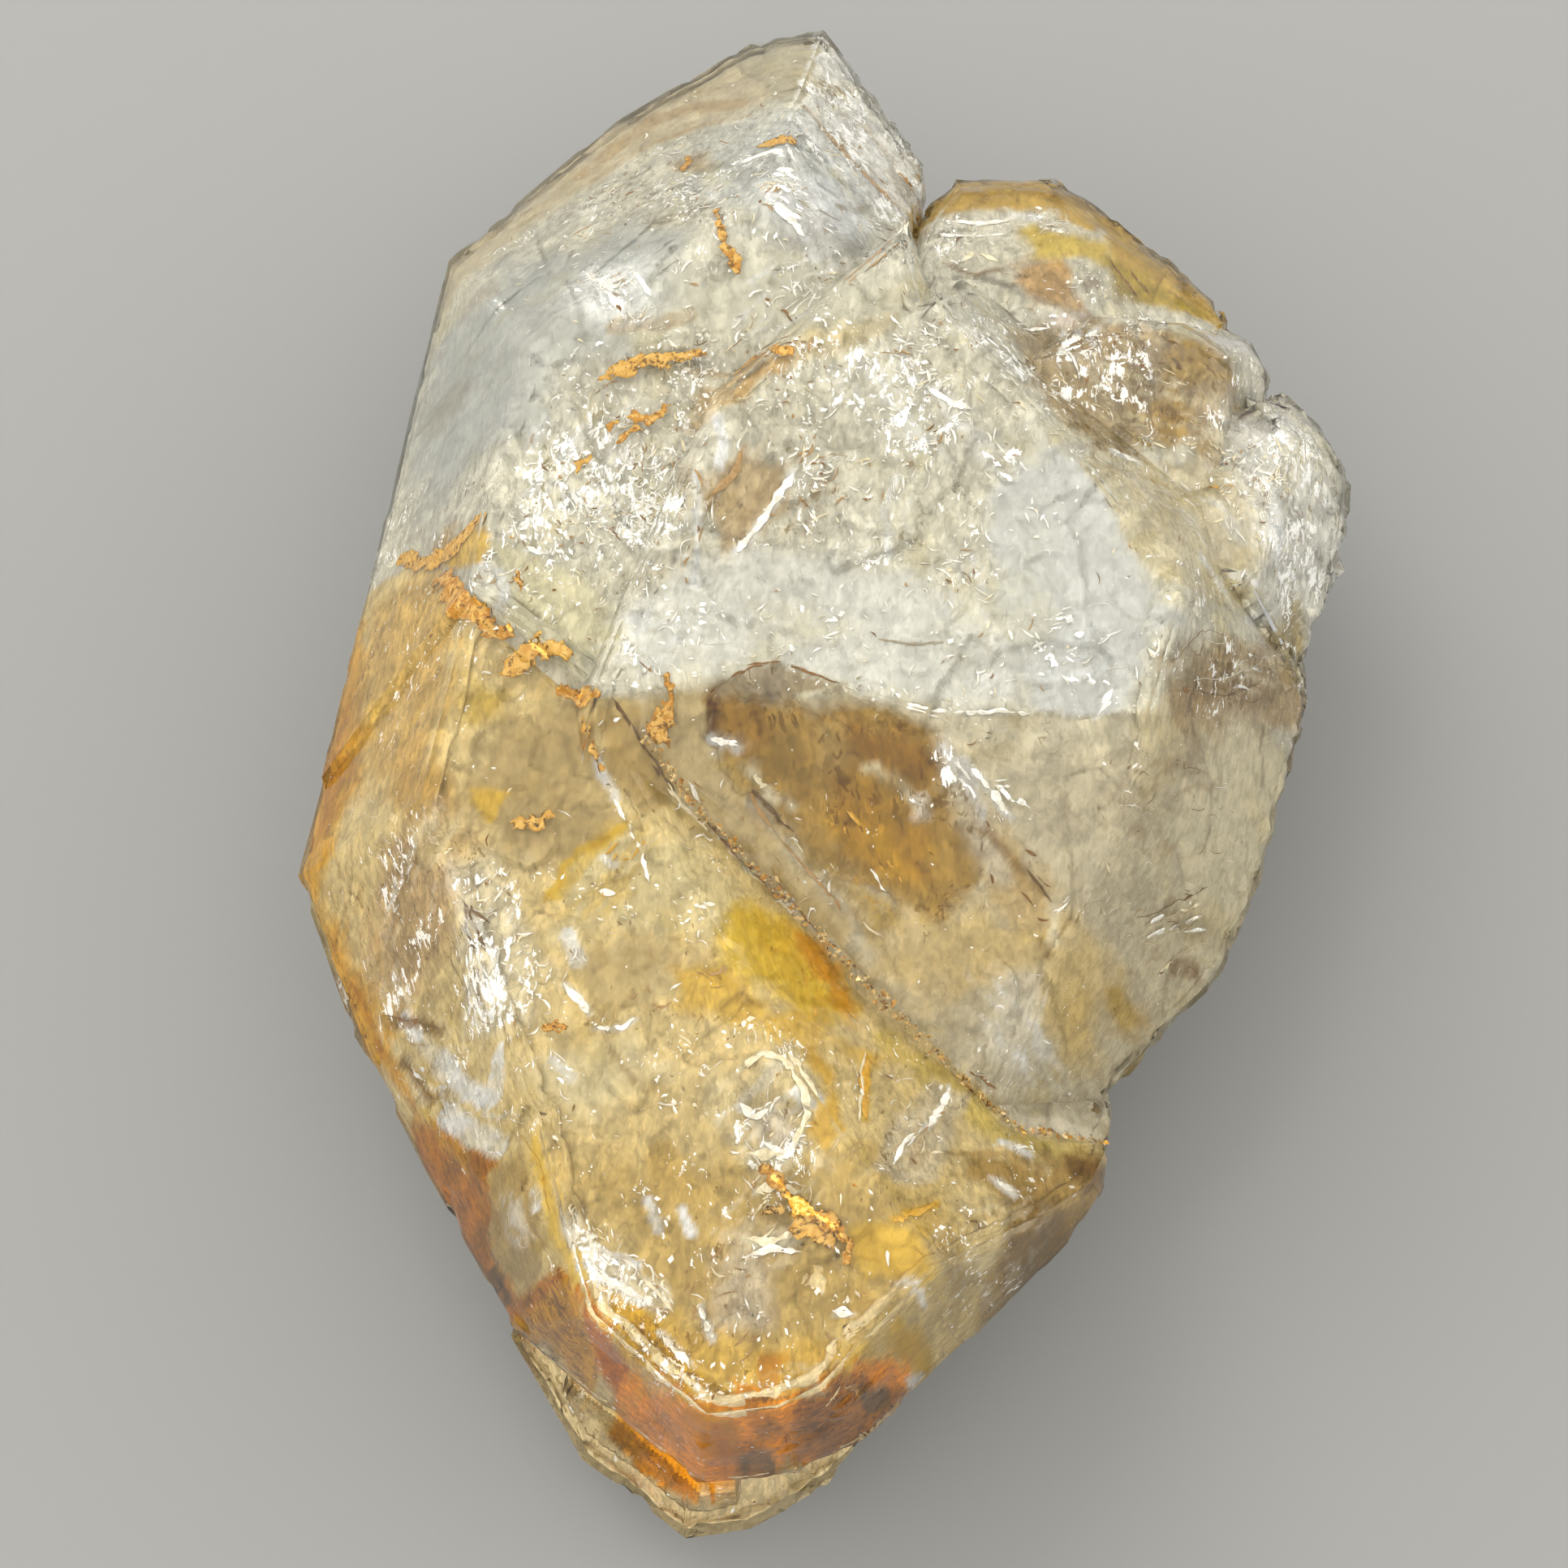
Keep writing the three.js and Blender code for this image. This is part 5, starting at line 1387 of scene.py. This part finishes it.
def looseThreads(rng):
    # short curved threads that keep to one direction in each neighbourhood
    count = veinSet["threads"] * 14
    x, y = rng.uniform(fine.x[0], fine.x[-1], count), rng.uniform(fine.y[0], fine.y[-1], count)
    flat = np.stack([x, y, x * 0], 1)
    crowd = ramp(fractalNoise(flat, 2.4, 411, 4, 0.66), -0.25, 0.8)
    marks = marksAt(x, y)
    paleness = ramp(tintAt(x, y)[:, 2], 0.08, 0.35)
    keep = (topAt(x, y) > 2) & (rng.random(count) < paleness * marks[:, 0] * (0.06 + crowd ** 1.5))
    flat = flat[keep][:veinSet["threads"]]
    swirl = math.pi * 1.5 * smoothNoise(flat, 5.5, 413) + math.radians(50)
    made = []
    for number, (place, angle) in enumerate(zip(flat, swirl)):
        way = angle + rng.normal(0, 0.3) + (math.pi / 2 if rng.random() < 0.12 else 0)
        bend = rng.normal(0, 0.4)
        shortest, longest = veinSet["threadLength"]
        length = shortest * (longest / shortest) ** (rng.random() ** 1.4)
        line = [(place[0], place[1])]
        for part in range(3):
            line.append((line[-1][0] + math.cos(way + bend * part) * length / 3,
                         line[-1][1] + math.sin(way + bend * part) * length / 3))
        pick = rng.random()
        ink = "white" if pick < 0.72 else "cream" if pick < 0.88 else "brown" if pick < 0.94 else "tan"
        made.append((ink, rng.uniform(*veinSet["threadWidth"]), line))
    return made


def glossyVein():
    n = Nodes("glossyVein")
    stain = n.painted("stain")
    patchy = n.noise(0.5, 2.0, 0.6)
    duller = n.mix(1.0, stain, solid((0.80, 0.78, 0.72)), "MULTIPLY")
    return n.surface({
        "Base Color": n.mix(n.band(patchy, 0.35, 0.65), duller, stain),
        "Roughness": n.band(patchy, 0.3, 0.7, 0.15, 0.45)}, {"Specular IOR Level": 0.25})


def ribbonParts(lines, firstNumber, gaps, step):
    parts = [veinRibbon(line, width, ink, number + firstNumber, gaps, step)
             for number, (ink, width, line) in enumerate(lines)]
    return [part for part in parts if part]


rng = np.random.default_rng(12)
drawn = [(ink, width, corners(row)) for ink, width, strength, row in strokes
         if width < veinSet["ribbonUpTo"] and row[1] > veinSet["nearest"]
         and (ink in veinSet["ribbonInks"] or strength > veinSet["strongInk"])]
veinParts = ribbonParts(drawn, 0, 0.0, veinSet["step"])
veinParts += ribbonParts(fanRibbons(rng), 500, 0.12, veinSet["step"])
veinShader = glossyVein()
fracturePiece("healedVeins", veinParts, veinShader)
fracturePiece("looseThreads", ribbonParts(looseThreads(rng), 3000, -0.3, veinSet["threadStep"]), veinShader)


# flecks: fine curved threads and splinters of healed crack between the skin and the cloud

fleckSet = {
    "shortest": 0.12, "longest": 0.5,     # mm
    "narrowest": 0.3, "widest": 0.75,     # share of their length
    "skinGap": 0.30,                      # mm of clear quartz over the highest
    "band": 0.85,                         # mm of depth that they fill
    "lean": 24,                           # degrees
    "thick": 0.03,                        # mm
    "upperCount": 6000, "lowerCount": 9000,
}


def splinters(centres, normals, directions, lengths, widths, thick, rng):
    # thin closed four-sided splinters
    along = directions - (directions * normals).sum(1)[:, None] * normals
    along /= np.linalg.norm(along, axis=1)[:, None]
    across = np.cross(normals, along)
    lengths, widths = lengths[:, None] / 2, widths[:, None] / 2
    rise = normals * (thick / 2)
    slide = along * lengths * rng.uniform(-0.5, 0.5, (len(centres), 1))
    other = along * lengths * rng.uniform(-0.5, 0.5, (len(centres), 1))
    points = np.stack([centres + along * lengths - rise, centres - along * lengths - rise,
                       centres + across * widths + slide + rise, centres - across * widths + other + rise], 1)
    faces = np.array([[0, 1, 2], [0, 3, 1], [0, 2, 3], [1, 3, 2]])
    start = np.arange(len(centres))[:, None, None] * 4
    return points.reshape(-1, 3), (start + faces).reshape(-1, 3)


def leaningNormals(rng, count, facing, tilt, spread):
    # unit vectors near one lean: facing is the way down the slope in degrees, tilt its steepness
    lean = np.radians(tilt + spread * rng.standard_normal(count))
    way = np.radians(facing + (25 + spread) * rng.standard_normal(count))
    return np.stack([np.sin(lean) * np.cos(way), np.sin(lean) * np.sin(way), np.cos(lean)], 1)


def fleckParts(rng, upper, count):
    # upper side, or the same below for the underside
    x = rng.uniform(rough.x[0], rough.x[-1], count * 12)
    y = rng.uniform(rough.y[0], rough.y[-1], count * 12)
    top, low = topAt(x, y), lowAt(x, y)
    flat = np.stack([x, y, np.zeros(len(x))], 1)
    crowd = ramp(fractalNoise(flat, 3.2, 301, 4, 0.62), -0.3, 0.8)
    chance = (1 - 0.7 * fine.sample(cloudClear, x, y)) * marksAt(x, y)[:, 0] * crowd ** 2
    room = top - low
    keep = (top > 0) & (low < outside / 2) & (room > 1.4) & (rng.random(len(x)) < chance)
    x, y, top, low, room = (values[keep][:count] for values in (x, y, top, low, room))
    share = rng.random(len(x)) ** 1.3 * np.minimum(fleckSet["band"], room / 2 - 0.4)
    z = top - fleckSet["skinGap"] - share if upper else low + fleckSet["skinGap"] + share
    # steep facets: keep clear of the skin sideways as well
    step = 0.5
    sides = ((step, 0), (-step, 0), (0, step), (0, -step))
    fits = (z < np.min([topAt(x + dx, y + dy) for dx, dy in sides], 0) - 0.15) \
        & (z > np.max([lowAt(x + dx, y + dy) for dx, dy in sides], 0) + 0.15)
    x, y, z = x[fits], y[fits], z[fits]
    number = len(x)
    spread = fleckSet["longest"] / fleckSet["shortest"]
    lengths = fleckSet["shortest"] * spread ** (rng.random(number) ** 1.8)
    widths = rng.uniform(fleckSet["narrowest"], fleckSet["widest"], number) * np.minimum(lengths, 0.45)
    normals = leaningNormals(rng, number, 90, 6, fleckSet["lean"])
    flat = np.stack([x, y, z], 1)
    swirl = math.pi * 1.6 * smoothNoise(flat * (1, 1, 0), 6.0, 305) + 0.45 * rng.standard_normal(number)
    swirl += math.radians(50) + np.where(rng.random(number) < 0.25, math.pi / 2, 0)
    points, faces = splinters(flat, normals, heading(swirl), lengths, widths, fleckSet["thick"], rng)
    return points, faces, np.repeat(rng.random(number), 4), np.repeat(tintAt(x, y), 4, axis=0)


def paleFleck():
    n = Nodes("paleFleck")
    stain, tone = n.painted("stain"), n.painted("tone", "Fac")
    pale = n.mix(0.85, stain, solid((0.98, 0.97, 0.93)))
    dark = n.mix(1.0, stain, solid((0.42, 0.33, 0.22)), "MULTIPLY")
    base = n.mix(n.band(tone, 0.10, 0.6, 0.3, 1.0), stain, pale)
    base = n.mix(n.band(tone, 0.09, 0.08), base, dark)
    return n.surface({
        "Base Color": base, "Roughness": n.band(n.noise(0.6, 1.0), 0.3, 0.7, 0.25, 0.5),
        "Metallic": n.band(tone, 0.93, 0.96, 0.0, 0.7)})


fleckShader = paleFleck()
fracturePiece("upperFlecks", [fleckParts(rng, True, fleckSet["upperCount"])], fleckShader)
fracturePiece("lowerFlecks", [fleckParts(rng, False, fleckSet["lowerCount"])], fleckShader)


# open cracks that shine: broken sheets with small facets

crackSet = {
    "step": 0.09,            # mm between points
    "facetShare": 0.42,      # of the facet size below, for the small facets
    "facetLift": 1.2,
    "wave": 0.05,            # mm
    "skinGap": 0.35,         # mm of clear quartz over them
    "cloudGap": 0.15,        # mm over the cloud
    "thick": 0.04,           # mm
    "missing": 0.62,         # share of the facets that are left out
}
crackSheets = [
    # x, y, length, width, turn, tilt to the right and back, depth, facet size, facet tilt, stretch
    (-1.5, 24.2, 4.8, 2.8, -35, 2, 6, 0.7, 0.7, 0.30, 1.6),
    (-3.9, 21.4, 2.6, 2.0, 60, -4, 4, 0.8, 0.6, 0.30, 1.5),
    (-12.0, 19.0, 4.4, 1.6, -50, 2, 5, 0.8, 0.5, 0.22, 1.8),
    (8.2, 15.4, 4.8, 1.9, -42, 2, 5, 0.6, 0.6, 0.34, 1.8),
    (8.0, 8.8, 4.4, 1.7, -46, 0, 5, 0.6, 0.55, 0.34, 1.6),
    (11.4, -0.4, 4.4, 2.2, 20, 2, 5, 0.55, 0.55, 0.36, 1.6),
    (11.8, -2.6, 3.6, 2.2, -30, 2, 5, 0.55, 0.55, 0.36, 1.4),
    (9.0, -1.0, 2.2, 0.9, -70, 2, 5, 0.6, 0.5, 0.3, 1.6),
    (12.4, 17.2, 3.6, 2.4, 60, 0, 8, 0.6, 0.45, 0.32, 1.6),
    (20.2, 4.2, 3.8, 1.5, 60, 0, 8, 0.6, 0.6, 0.36, 1.8),
    (22.9, 8.6, 4.6, 1.0, 82, -6, 4, 0.6, 0.5, 0.36, 1.6),
    (11.7, 19.5, 2.4, 1.0, 0, 0, 6, 0.6, 0.6, 0.3, 1.3),
    (17.4, 20.2, 6.0, 0.9, -8, 0, 6, 0.45, 0.7, 0.2, 2.0),
    (5.9, -7.4, 3.4, 0.8, -60, 4, 8, 0.7, 0.6, 0.26, 2.2),
    (8.4, -8.9, 3.0, 1.7, -40, 4, 8, 0.6, 0.5, 0.34, 1.4),
    (-5.6, -5.55, 1.7, 0.5, -12, 0, 6, 0.8, 0.45, 0.26, 1.8),
    (-0.9, -8.9, 1.0, 0.4, -70, 2, 8, 1.0, 0.4, 0.3, 1.8),
    (4.1, -8.9, 1.6, 0.9, -60, 2, 8, 0.9, 0.5, 0.36, 1.6),
    (-16.6, -16.6, 6.4, 2.0, 78, -6, 4, 0.7, 0.6, 0.34, 2.0),
    (-19.0, -21.4, 5.4, 1.9, -46, -6, 4, 0.6, 0.55, 0.34, 1.6),
    (-17.2, -24.2, 3.6, 1.3, -40, -4, 4, 0.6, 0.5, 0.34, 1.6),
    (-21.6, -11.4, 3.6, 1.6, 50, -6, 4, 0.7, 0.5, 0.30, 1.8),
    (-11.4, -7.6, 2.6, 0.6, -62, 0, 4, 0.6, 0.5, 0.2, 2.4),
    (-12.8, -16.4, 1.8, 1.0, 60, 0, 6, 0.7, 0.5, 0.34, 1.4),
    (-12.6, -18.8, 2.0, 0.6, -50, 0, 6, 0.7, 0.5, 0.34, 1.4),
    (-13.2, -22.2, 2.2, 1.2, -40, 0, 6, 0.7, 0.5, 0.34, 1.4),
    (-1.7, -23.6, 1.2, 1.0, 0, 0, 6, 0.6, 0.4, 0.34, 1.2),
    (-4.0, -24.6, 3.0, 1.6, 30, 0, 6, 0.7, 0.45, 0.34, 1.4),
    (4.2, -24.2, 4.6, 1.4, 56, 2, 6, 0.7, 0.5, 0.30, 2.2),
    (8.6, -24.5, 2.2, 0.9, -20, 2, 6, 0.6, 0.5, 0.30, 1.6),
    (-8.2, -29.4, 2.6, 1.4, -70, 0, 4, 0.7, 0.45, 0.34, 1.5),
    (-3.0, -30.9, 3.4, 0.6, 6, 0, 4, 0.6, 0.45, 0.3, 2.0),
    (-10.8, -31.6, 4.4, 1.2, -42, -4, 6, 0.6, 0.5, 0.34, 1.8),
    (-7.6, -35.8, 2.6, 0.6, -48, -4, 6, 0.6, 0.45, 0.34, 1.8),
    (3.0, -32.6, 2.0, 0.9, 10, 2, 6, 0.6, 0.45, 0.34, 1.5),
    (20.2, 0.0, 5.6, 1.8, 32, 10, 20, 0.7, 0.8, 0.45, 3.0),
    (17.4, -12.4, 4.2, 2.0, 34, 10, 10, 0.7, 0.7, 0.32, 3.6),
]


def crackSheet(number, x, y, length, width, turn, right, back, depth, facet, facetTilt, stretch):
    step = crackSet["step"]
    u, v = np.meshgrid(np.arange(-length / 2, length / 2 + step, step),
                       np.arange(-width / 2, width / 2 + step, step))
    angle = math.radians(turn)
    px = x + u * math.cos(angle) - v * math.sin(angle)
    py = y + u * math.sin(angle) + v * math.cos(angle)
    local = np.stack([u.ravel() / (stretch * 1.7), v.ravel(), np.full(u.size, number * 3.7)], 1)
    local[:, :2] += 0.25 * np.stack([smoothNoise(local, 0.9, 77), smoothNoise(local, 0.9, 78)], 1)
    broken = shards(local, facet * crackSet["facetShare"], 60 + number, facetTilt)
    facets, tones, border = (values.reshape(u.shape) for values in broken)
    wave = crackSet["wave"] * fractalNoise(local, 0.8, 90 + number, 3).reshape(u.shape)
    lift = facets * crackSet["facetLift"] + wave
    middle = float(topAt(x, y)) - depth
    plane = middle - (px - x) * math.tan(math.radians(right)) - (py - y) * math.tan(math.radians(back))
    above = topAt(px, py)
    deepest = above - cloudSet["skin"] + crackSet["cloudGap"]
    height = np.clip(plane + lift, deepest, above - crackSet["skinGap"])
    rim = 1 - (np.abs(u) / (length / 2)) ** 2 - (np.abs(v) / (width / 2)) ** 2
    ragged = 0.8 * fractalNoise(local, 1.2, 120 + number, 4, 0.7).reshape(u.shape)
    level = np.minimum(rim + ragged - 0.2, (tones - crackSet["missing"]) * 4)
    level = np.minimum(level, (border - 0.03) * 3)
    level = np.where(above > 0, level, -1.0)
    points = np.stack([px, py, height], 2)
    rise = (0, 0, crackSet["thick"] / 2)
    made, faces = pinchedGrid(points + rise, points - rise, level)
    tones = 0.5 + 0.5 * fractalNoise(made, 0.9, 150 + number, 2)
    return made, faces, tones, tintAt(made[:, 0], made[:, 1])


def silverCrack():
    n = Nodes("silverCrack")
    tone = n.painted("tone", "Fac")
    dull = n.mix(0.5, n.painted("stain"), solid(linear(200, 194, 180)))
    return n.surface({
        "Base Color": n.mix(n.band(tone, 0.1, 0.6), dull, solid(linear(254, 254, 251))),
        "Roughness": n.band(n.noise(0.5, 2.0), 0.3, 0.7, 0.12, 0.35)}, {"Metallic": 0.6})


crackParts = [crackSheet(number, *sheet) for number, sheet in enumerate(crackSheets)]
fracturePiece("shiningCracks", crackParts, silverCrack())


# iron clay in the seams and fissures

claySet = {
    "step": 0.10, "margin": 1.2,          # mm between points, and round each patch
    "skinGap": 0.12,                      # mm, added to the depth of each patch
    "swell": 0.22,                        # how thick a patch gets for its width
    "lump": 0.05,                         # mm
    "crumbs": 16,                         # on a millimetre of the long seam
    "crumbSpread": 0.14,                  # mm to each side
    # pale is the painted highlight on the tops of the lumps, shadow the painted shade in the pits
    "rust": linear(186, 130, 46), "ochre": linear(200, 152, 68), "dark": linear(92, 62, 28),
    "pale": linear(220, 180, 100), "shadow": linear(104, 70, 30), "crumb": linear(236, 214, 160),
}
clayPatches = [
    # line of corners with a half width at each, how deep under the skin, name of its colour
    ([(-11.9, 13.7, 0.25), (-10.8, 14.4, 0.55), (-9.0, 14.8, 0.5), (-6.6, 15.1, 0.12)], 0.35, "ochre"),
    ([(-11.5, 11.1, 0.12), (-10.4, 11.5, 0.32), (-9.4, 11.4, 0.30), (-8.7, 12.0, 0.15)], 0.35, "rust"),
    ([(-9.6, 11.4, 0.14), (-11.0, 10.1, 0.10)], 0.35, "rust"),
    ([(-12.5, 9.4, 0.16), (-13.0, 8.6, 0.16)], 0.35, "ochre"),
    ([(-6.0, 23.4, 0.12), (-5.9, 21.9, 0.30), (-5.4, 20.6, 0.34), (-4.9, 19.6, 0.10)], 0.45, "rust"),
    ([(-7.6, 29.6, 0.1), (-7.8, 28.6, 0.22)], 0.5, "rust"),
    ([(-3.5, 29.0, 0.35), (-2.4, 28.9, 0.4)], 0.35, "ochre"),
    ([(-4.9, 13.9, 0.15), (-3.4, 14.8, 0.28), (-2.3, 14.9, 0.2)], 0.4, "rust"),
    ([(3.6, 31.0, 0.14), (4.5, 29.6, 0.18), (4.6, 28.8, 0.12)], 0.35, "rust"),
    ([(-22.4, 7.6, 0.5), (-20.6, 6.0, 0.5), (-19.0, 5.6, 0.55), (-18.0, 6.2, 0.3)], 0.35, "ochre"),
    ([(-19.8, 4.2, 0.35), (-18.8, 2.2, 0.6), (-17.6, 0.7, 0.6), (-16.4, 0.1, 0.35)], 0.35, "rust"),
    ([(-16.4, 5.2, 0.14), (-15.9, 4.4, 0.24)], 0.35, "rust"),
    ([(-15.9, 2.7, 0.22), (-15.5, 1.4, 0.16)], 0.35, "rust"),
    ([(-16.0, -1.9, 0.5), (-15.0, -0.8, 0.7), (-13.6, -1.1, 0.45), (-12.9, -1.6, 0.2)], 0.35, "ochre"),
    ([(-13.6, -3.0, 0.35), (-12.4, -3.5, 0.6), (-11.6, -3.8, 0.3)], 0.35, "rust"),
    ([(-12.4, -4.6, 0.25), (-12.0, -6.2, 0.22), (-11.6, -7.0, 0.14)], 0.35, "ochre"),
    ([(-8.4, -3.0, 0.12), (-8.1, -4.0, 0.4), (-8.9, -5.2, 0.45), (-8.3, -5.8, 0.15)], 0.35, "rust"),
    ([(-9.9, -12.9, 0.1), (-9.6, -12.6, 0.1)], 0.35, "ochre"),
    ([(-14.0, -20.3, 0.25), (-13.3, -20.2, 0.38)], 0.35, "rust"),
    ([(-15.5, -10.0, 0.4), (-14.2, -9.6, 0.3)], 0.6, "ochre"),
    ([(-3.5, -27.0, 0.25), (-2.5, -28.1, 0.34), (-1.8, -28.9, 0.5), (-0.6, -29.4, 0.42), (0.4, -30.4, 0.32),
      (0.2, -31.4, 0.16)], 0.35, "rust"),
    ([(-4.5, -29.4, 0.10), (-3.2, -28.9, 0.22), (-2.0, -28.9, 0.22)], 0.35, "dark"),
    ([(-0.1, -27.4, 0.1), (1.1, -27.9, 0.16)], 0.4, "rust"),
    ([(-1.6, -29.6, 0.5), (-0.6, -30.4, 0.4)], 0.5, "ochre"),
    ([(19.0, 10.0, 0.12), (20.6, 10.3, 0.2)], 0.5, "ochre"),
]


def clayPatch(number, line, depth, colourName):
    step, margin = claySet["step"], claySet["margin"]
    xs, ys = [p[0] for p in line], [p[1] for p in line]
    u, v = np.meshgrid(np.arange(min(xs) - margin, max(xs) + margin, step),
                       np.arange(min(ys) - margin, max(ys) + margin, step))
    flat = np.stack([u.ravel(), v.ravel(), np.full(u.size, number * 2.3)], 1)
    fill = np.full(len(flat), -9.0)
    for (x1, y1, w1), (x2, y2, w2) in zip(line[:-1], line[1:]):
        a, run = np.array((x1, y1)), np.array((x2 - x1, y2 - y1))
        along = np.clip(((flat[:, :2] - a) @ run) / (run @ run), 0, 1)
        away = np.linalg.norm(flat[:, :2] - a - along[:, None] * run, axis=1)
        fill = np.maximum(fill, (w1 + (w2 - w1) * along) - away)
    fill = fill + 0.24 * fractalNoise(flat, 0.7, 200 + number, 4, 0.85) - 0.06
    thick = np.sqrt(np.clip(fill, 0, 0.5)).reshape(u.shape) * claySet["swell"]
    lump = claySet["lump"] * fractalNoise(flat, 0.35, 230 + number, 3, 0.6).reshape(u.shape)
    skin = topAt(u, v)
    nearby = np.min([topAt(u + a, v + b) for a, b in ((0.4, 0), (-0.4, 0), (0, 0.4), (0, -0.4))], 0)
    inside = nearby > 3
    middle = np.where(inside, np.minimum(skin, nearby + 0.25), skin) - depth - claySet["skinGap"]
    top = np.stack([u, v, middle + np.maximum(thick * 0.5 + lump, 0.02)], 2)
    low = np.stack([u, v, middle - np.maximum(thick, 0.03)], 2)
    points, faces = pinchedGrid(top, low, np.where(inside, fill.reshape(u.shape), -1.0))
    colours = np.tile(np.array(claySet[colourName]), (len(points), 1))
    return points, faces, np.full(len(points), 0.5), colours


def seamClay(rng):
    # crumbs strung along the long slanting seam
    parts = []
    for start, end in zip(longSeam[:-1], longSeam[1:]):
        a, b = np.array(start), np.array(end)
        count = int(np.linalg.norm(b - a) * claySet["crumbs"])
        share = rng.random(count)[:, None]
        side = np.array([-(b - a)[1], (b - a)[0]]) / np.linalg.norm(b - a)
        spots = a + (b - a) * share + side * rng.normal(0, claySet["crumbSpread"], (count, 1))
        z = topAt(spots[:, 0], spots[:, 1]) - rng.uniform(0.40, 0.75, count)
        centres = np.column_stack([spots, z])
        normals = leaningNormals(rng, count, 90, 10, 30)
        turn = rng.uniform(0, math.pi, count)
        lengths = 0.12 + 0.40 * rng.random(count) ** 2
        points, faces = splinters(centres, normals, heading(turn), lengths, lengths * 0.6, 0.08, rng)
        pick = rng.random(count)[:, None]
        palest = np.where(pick < 0.5, claySet["dark"], claySet["crumb"])
        colours = np.where(pick < 0.35, claySet["rust"], palest)
        parts.append((points, faces, np.full(len(points), 0.5), np.repeat(colours, 4, axis=0)))
    return parts


def ironClay():
    n = Nodes("ironClay")
    crumb = n.add("ShaderNodeTexNoise", {
        "Vector": n.place, "Scale": 1 / (0.36 * mm), "Detail": 4.0, "Roughness": 0.7})
    lumpsAndHighlight, pitShade, dust = n.split(crumb.outputs["Color"])
    # painted highlight: pale clay on the tops of the lumps; painted shade: the shadow colour in the pits
    base = n.mix(n.band(lumpsAndHighlight, 0.46, 0.54, 0.0, 0.8), n.painted("stain"), solid(claySet["pale"]))
    base = n.mix(n.band(pitShade, 0.46, 0.40, 0.0, 0.85), base, solid(claySet["shadow"]))
    bump = n.add("ShaderNodeBump", {"Height": lumpsAndHighlight, "Strength": 0.9, "Distance": 0.12 * mm})
    return n.surface({
        "Base Color": base, "Roughness": n.band(dust, 0.3, 0.7, 0.7, 0.95),
        "Normal": bump.outputs["Normal"]}, {"Specular IOR Level": 0.1})


patchParts = [clayPatch(number, *patch) for number, patch in enumerate(clayPatches)]
clayShader = ironClay()
newPiece("ironClayPatches", meshFrom("ironClayPatches", patchParts, True), clayShader)
newPiece("seamCrumbs", meshFrom("seamCrumbs", seamClay(rng)), clayShader)


# the view transform, and how far light is followed through the quartz

scene = bpy.context.scene
scene.view_settings.view_transform = "Standard"
scene.cycles.max_bounces = 9
scene.cycles.diffuse_bounces = 3
scene.cycles.transmission_bounces = 6
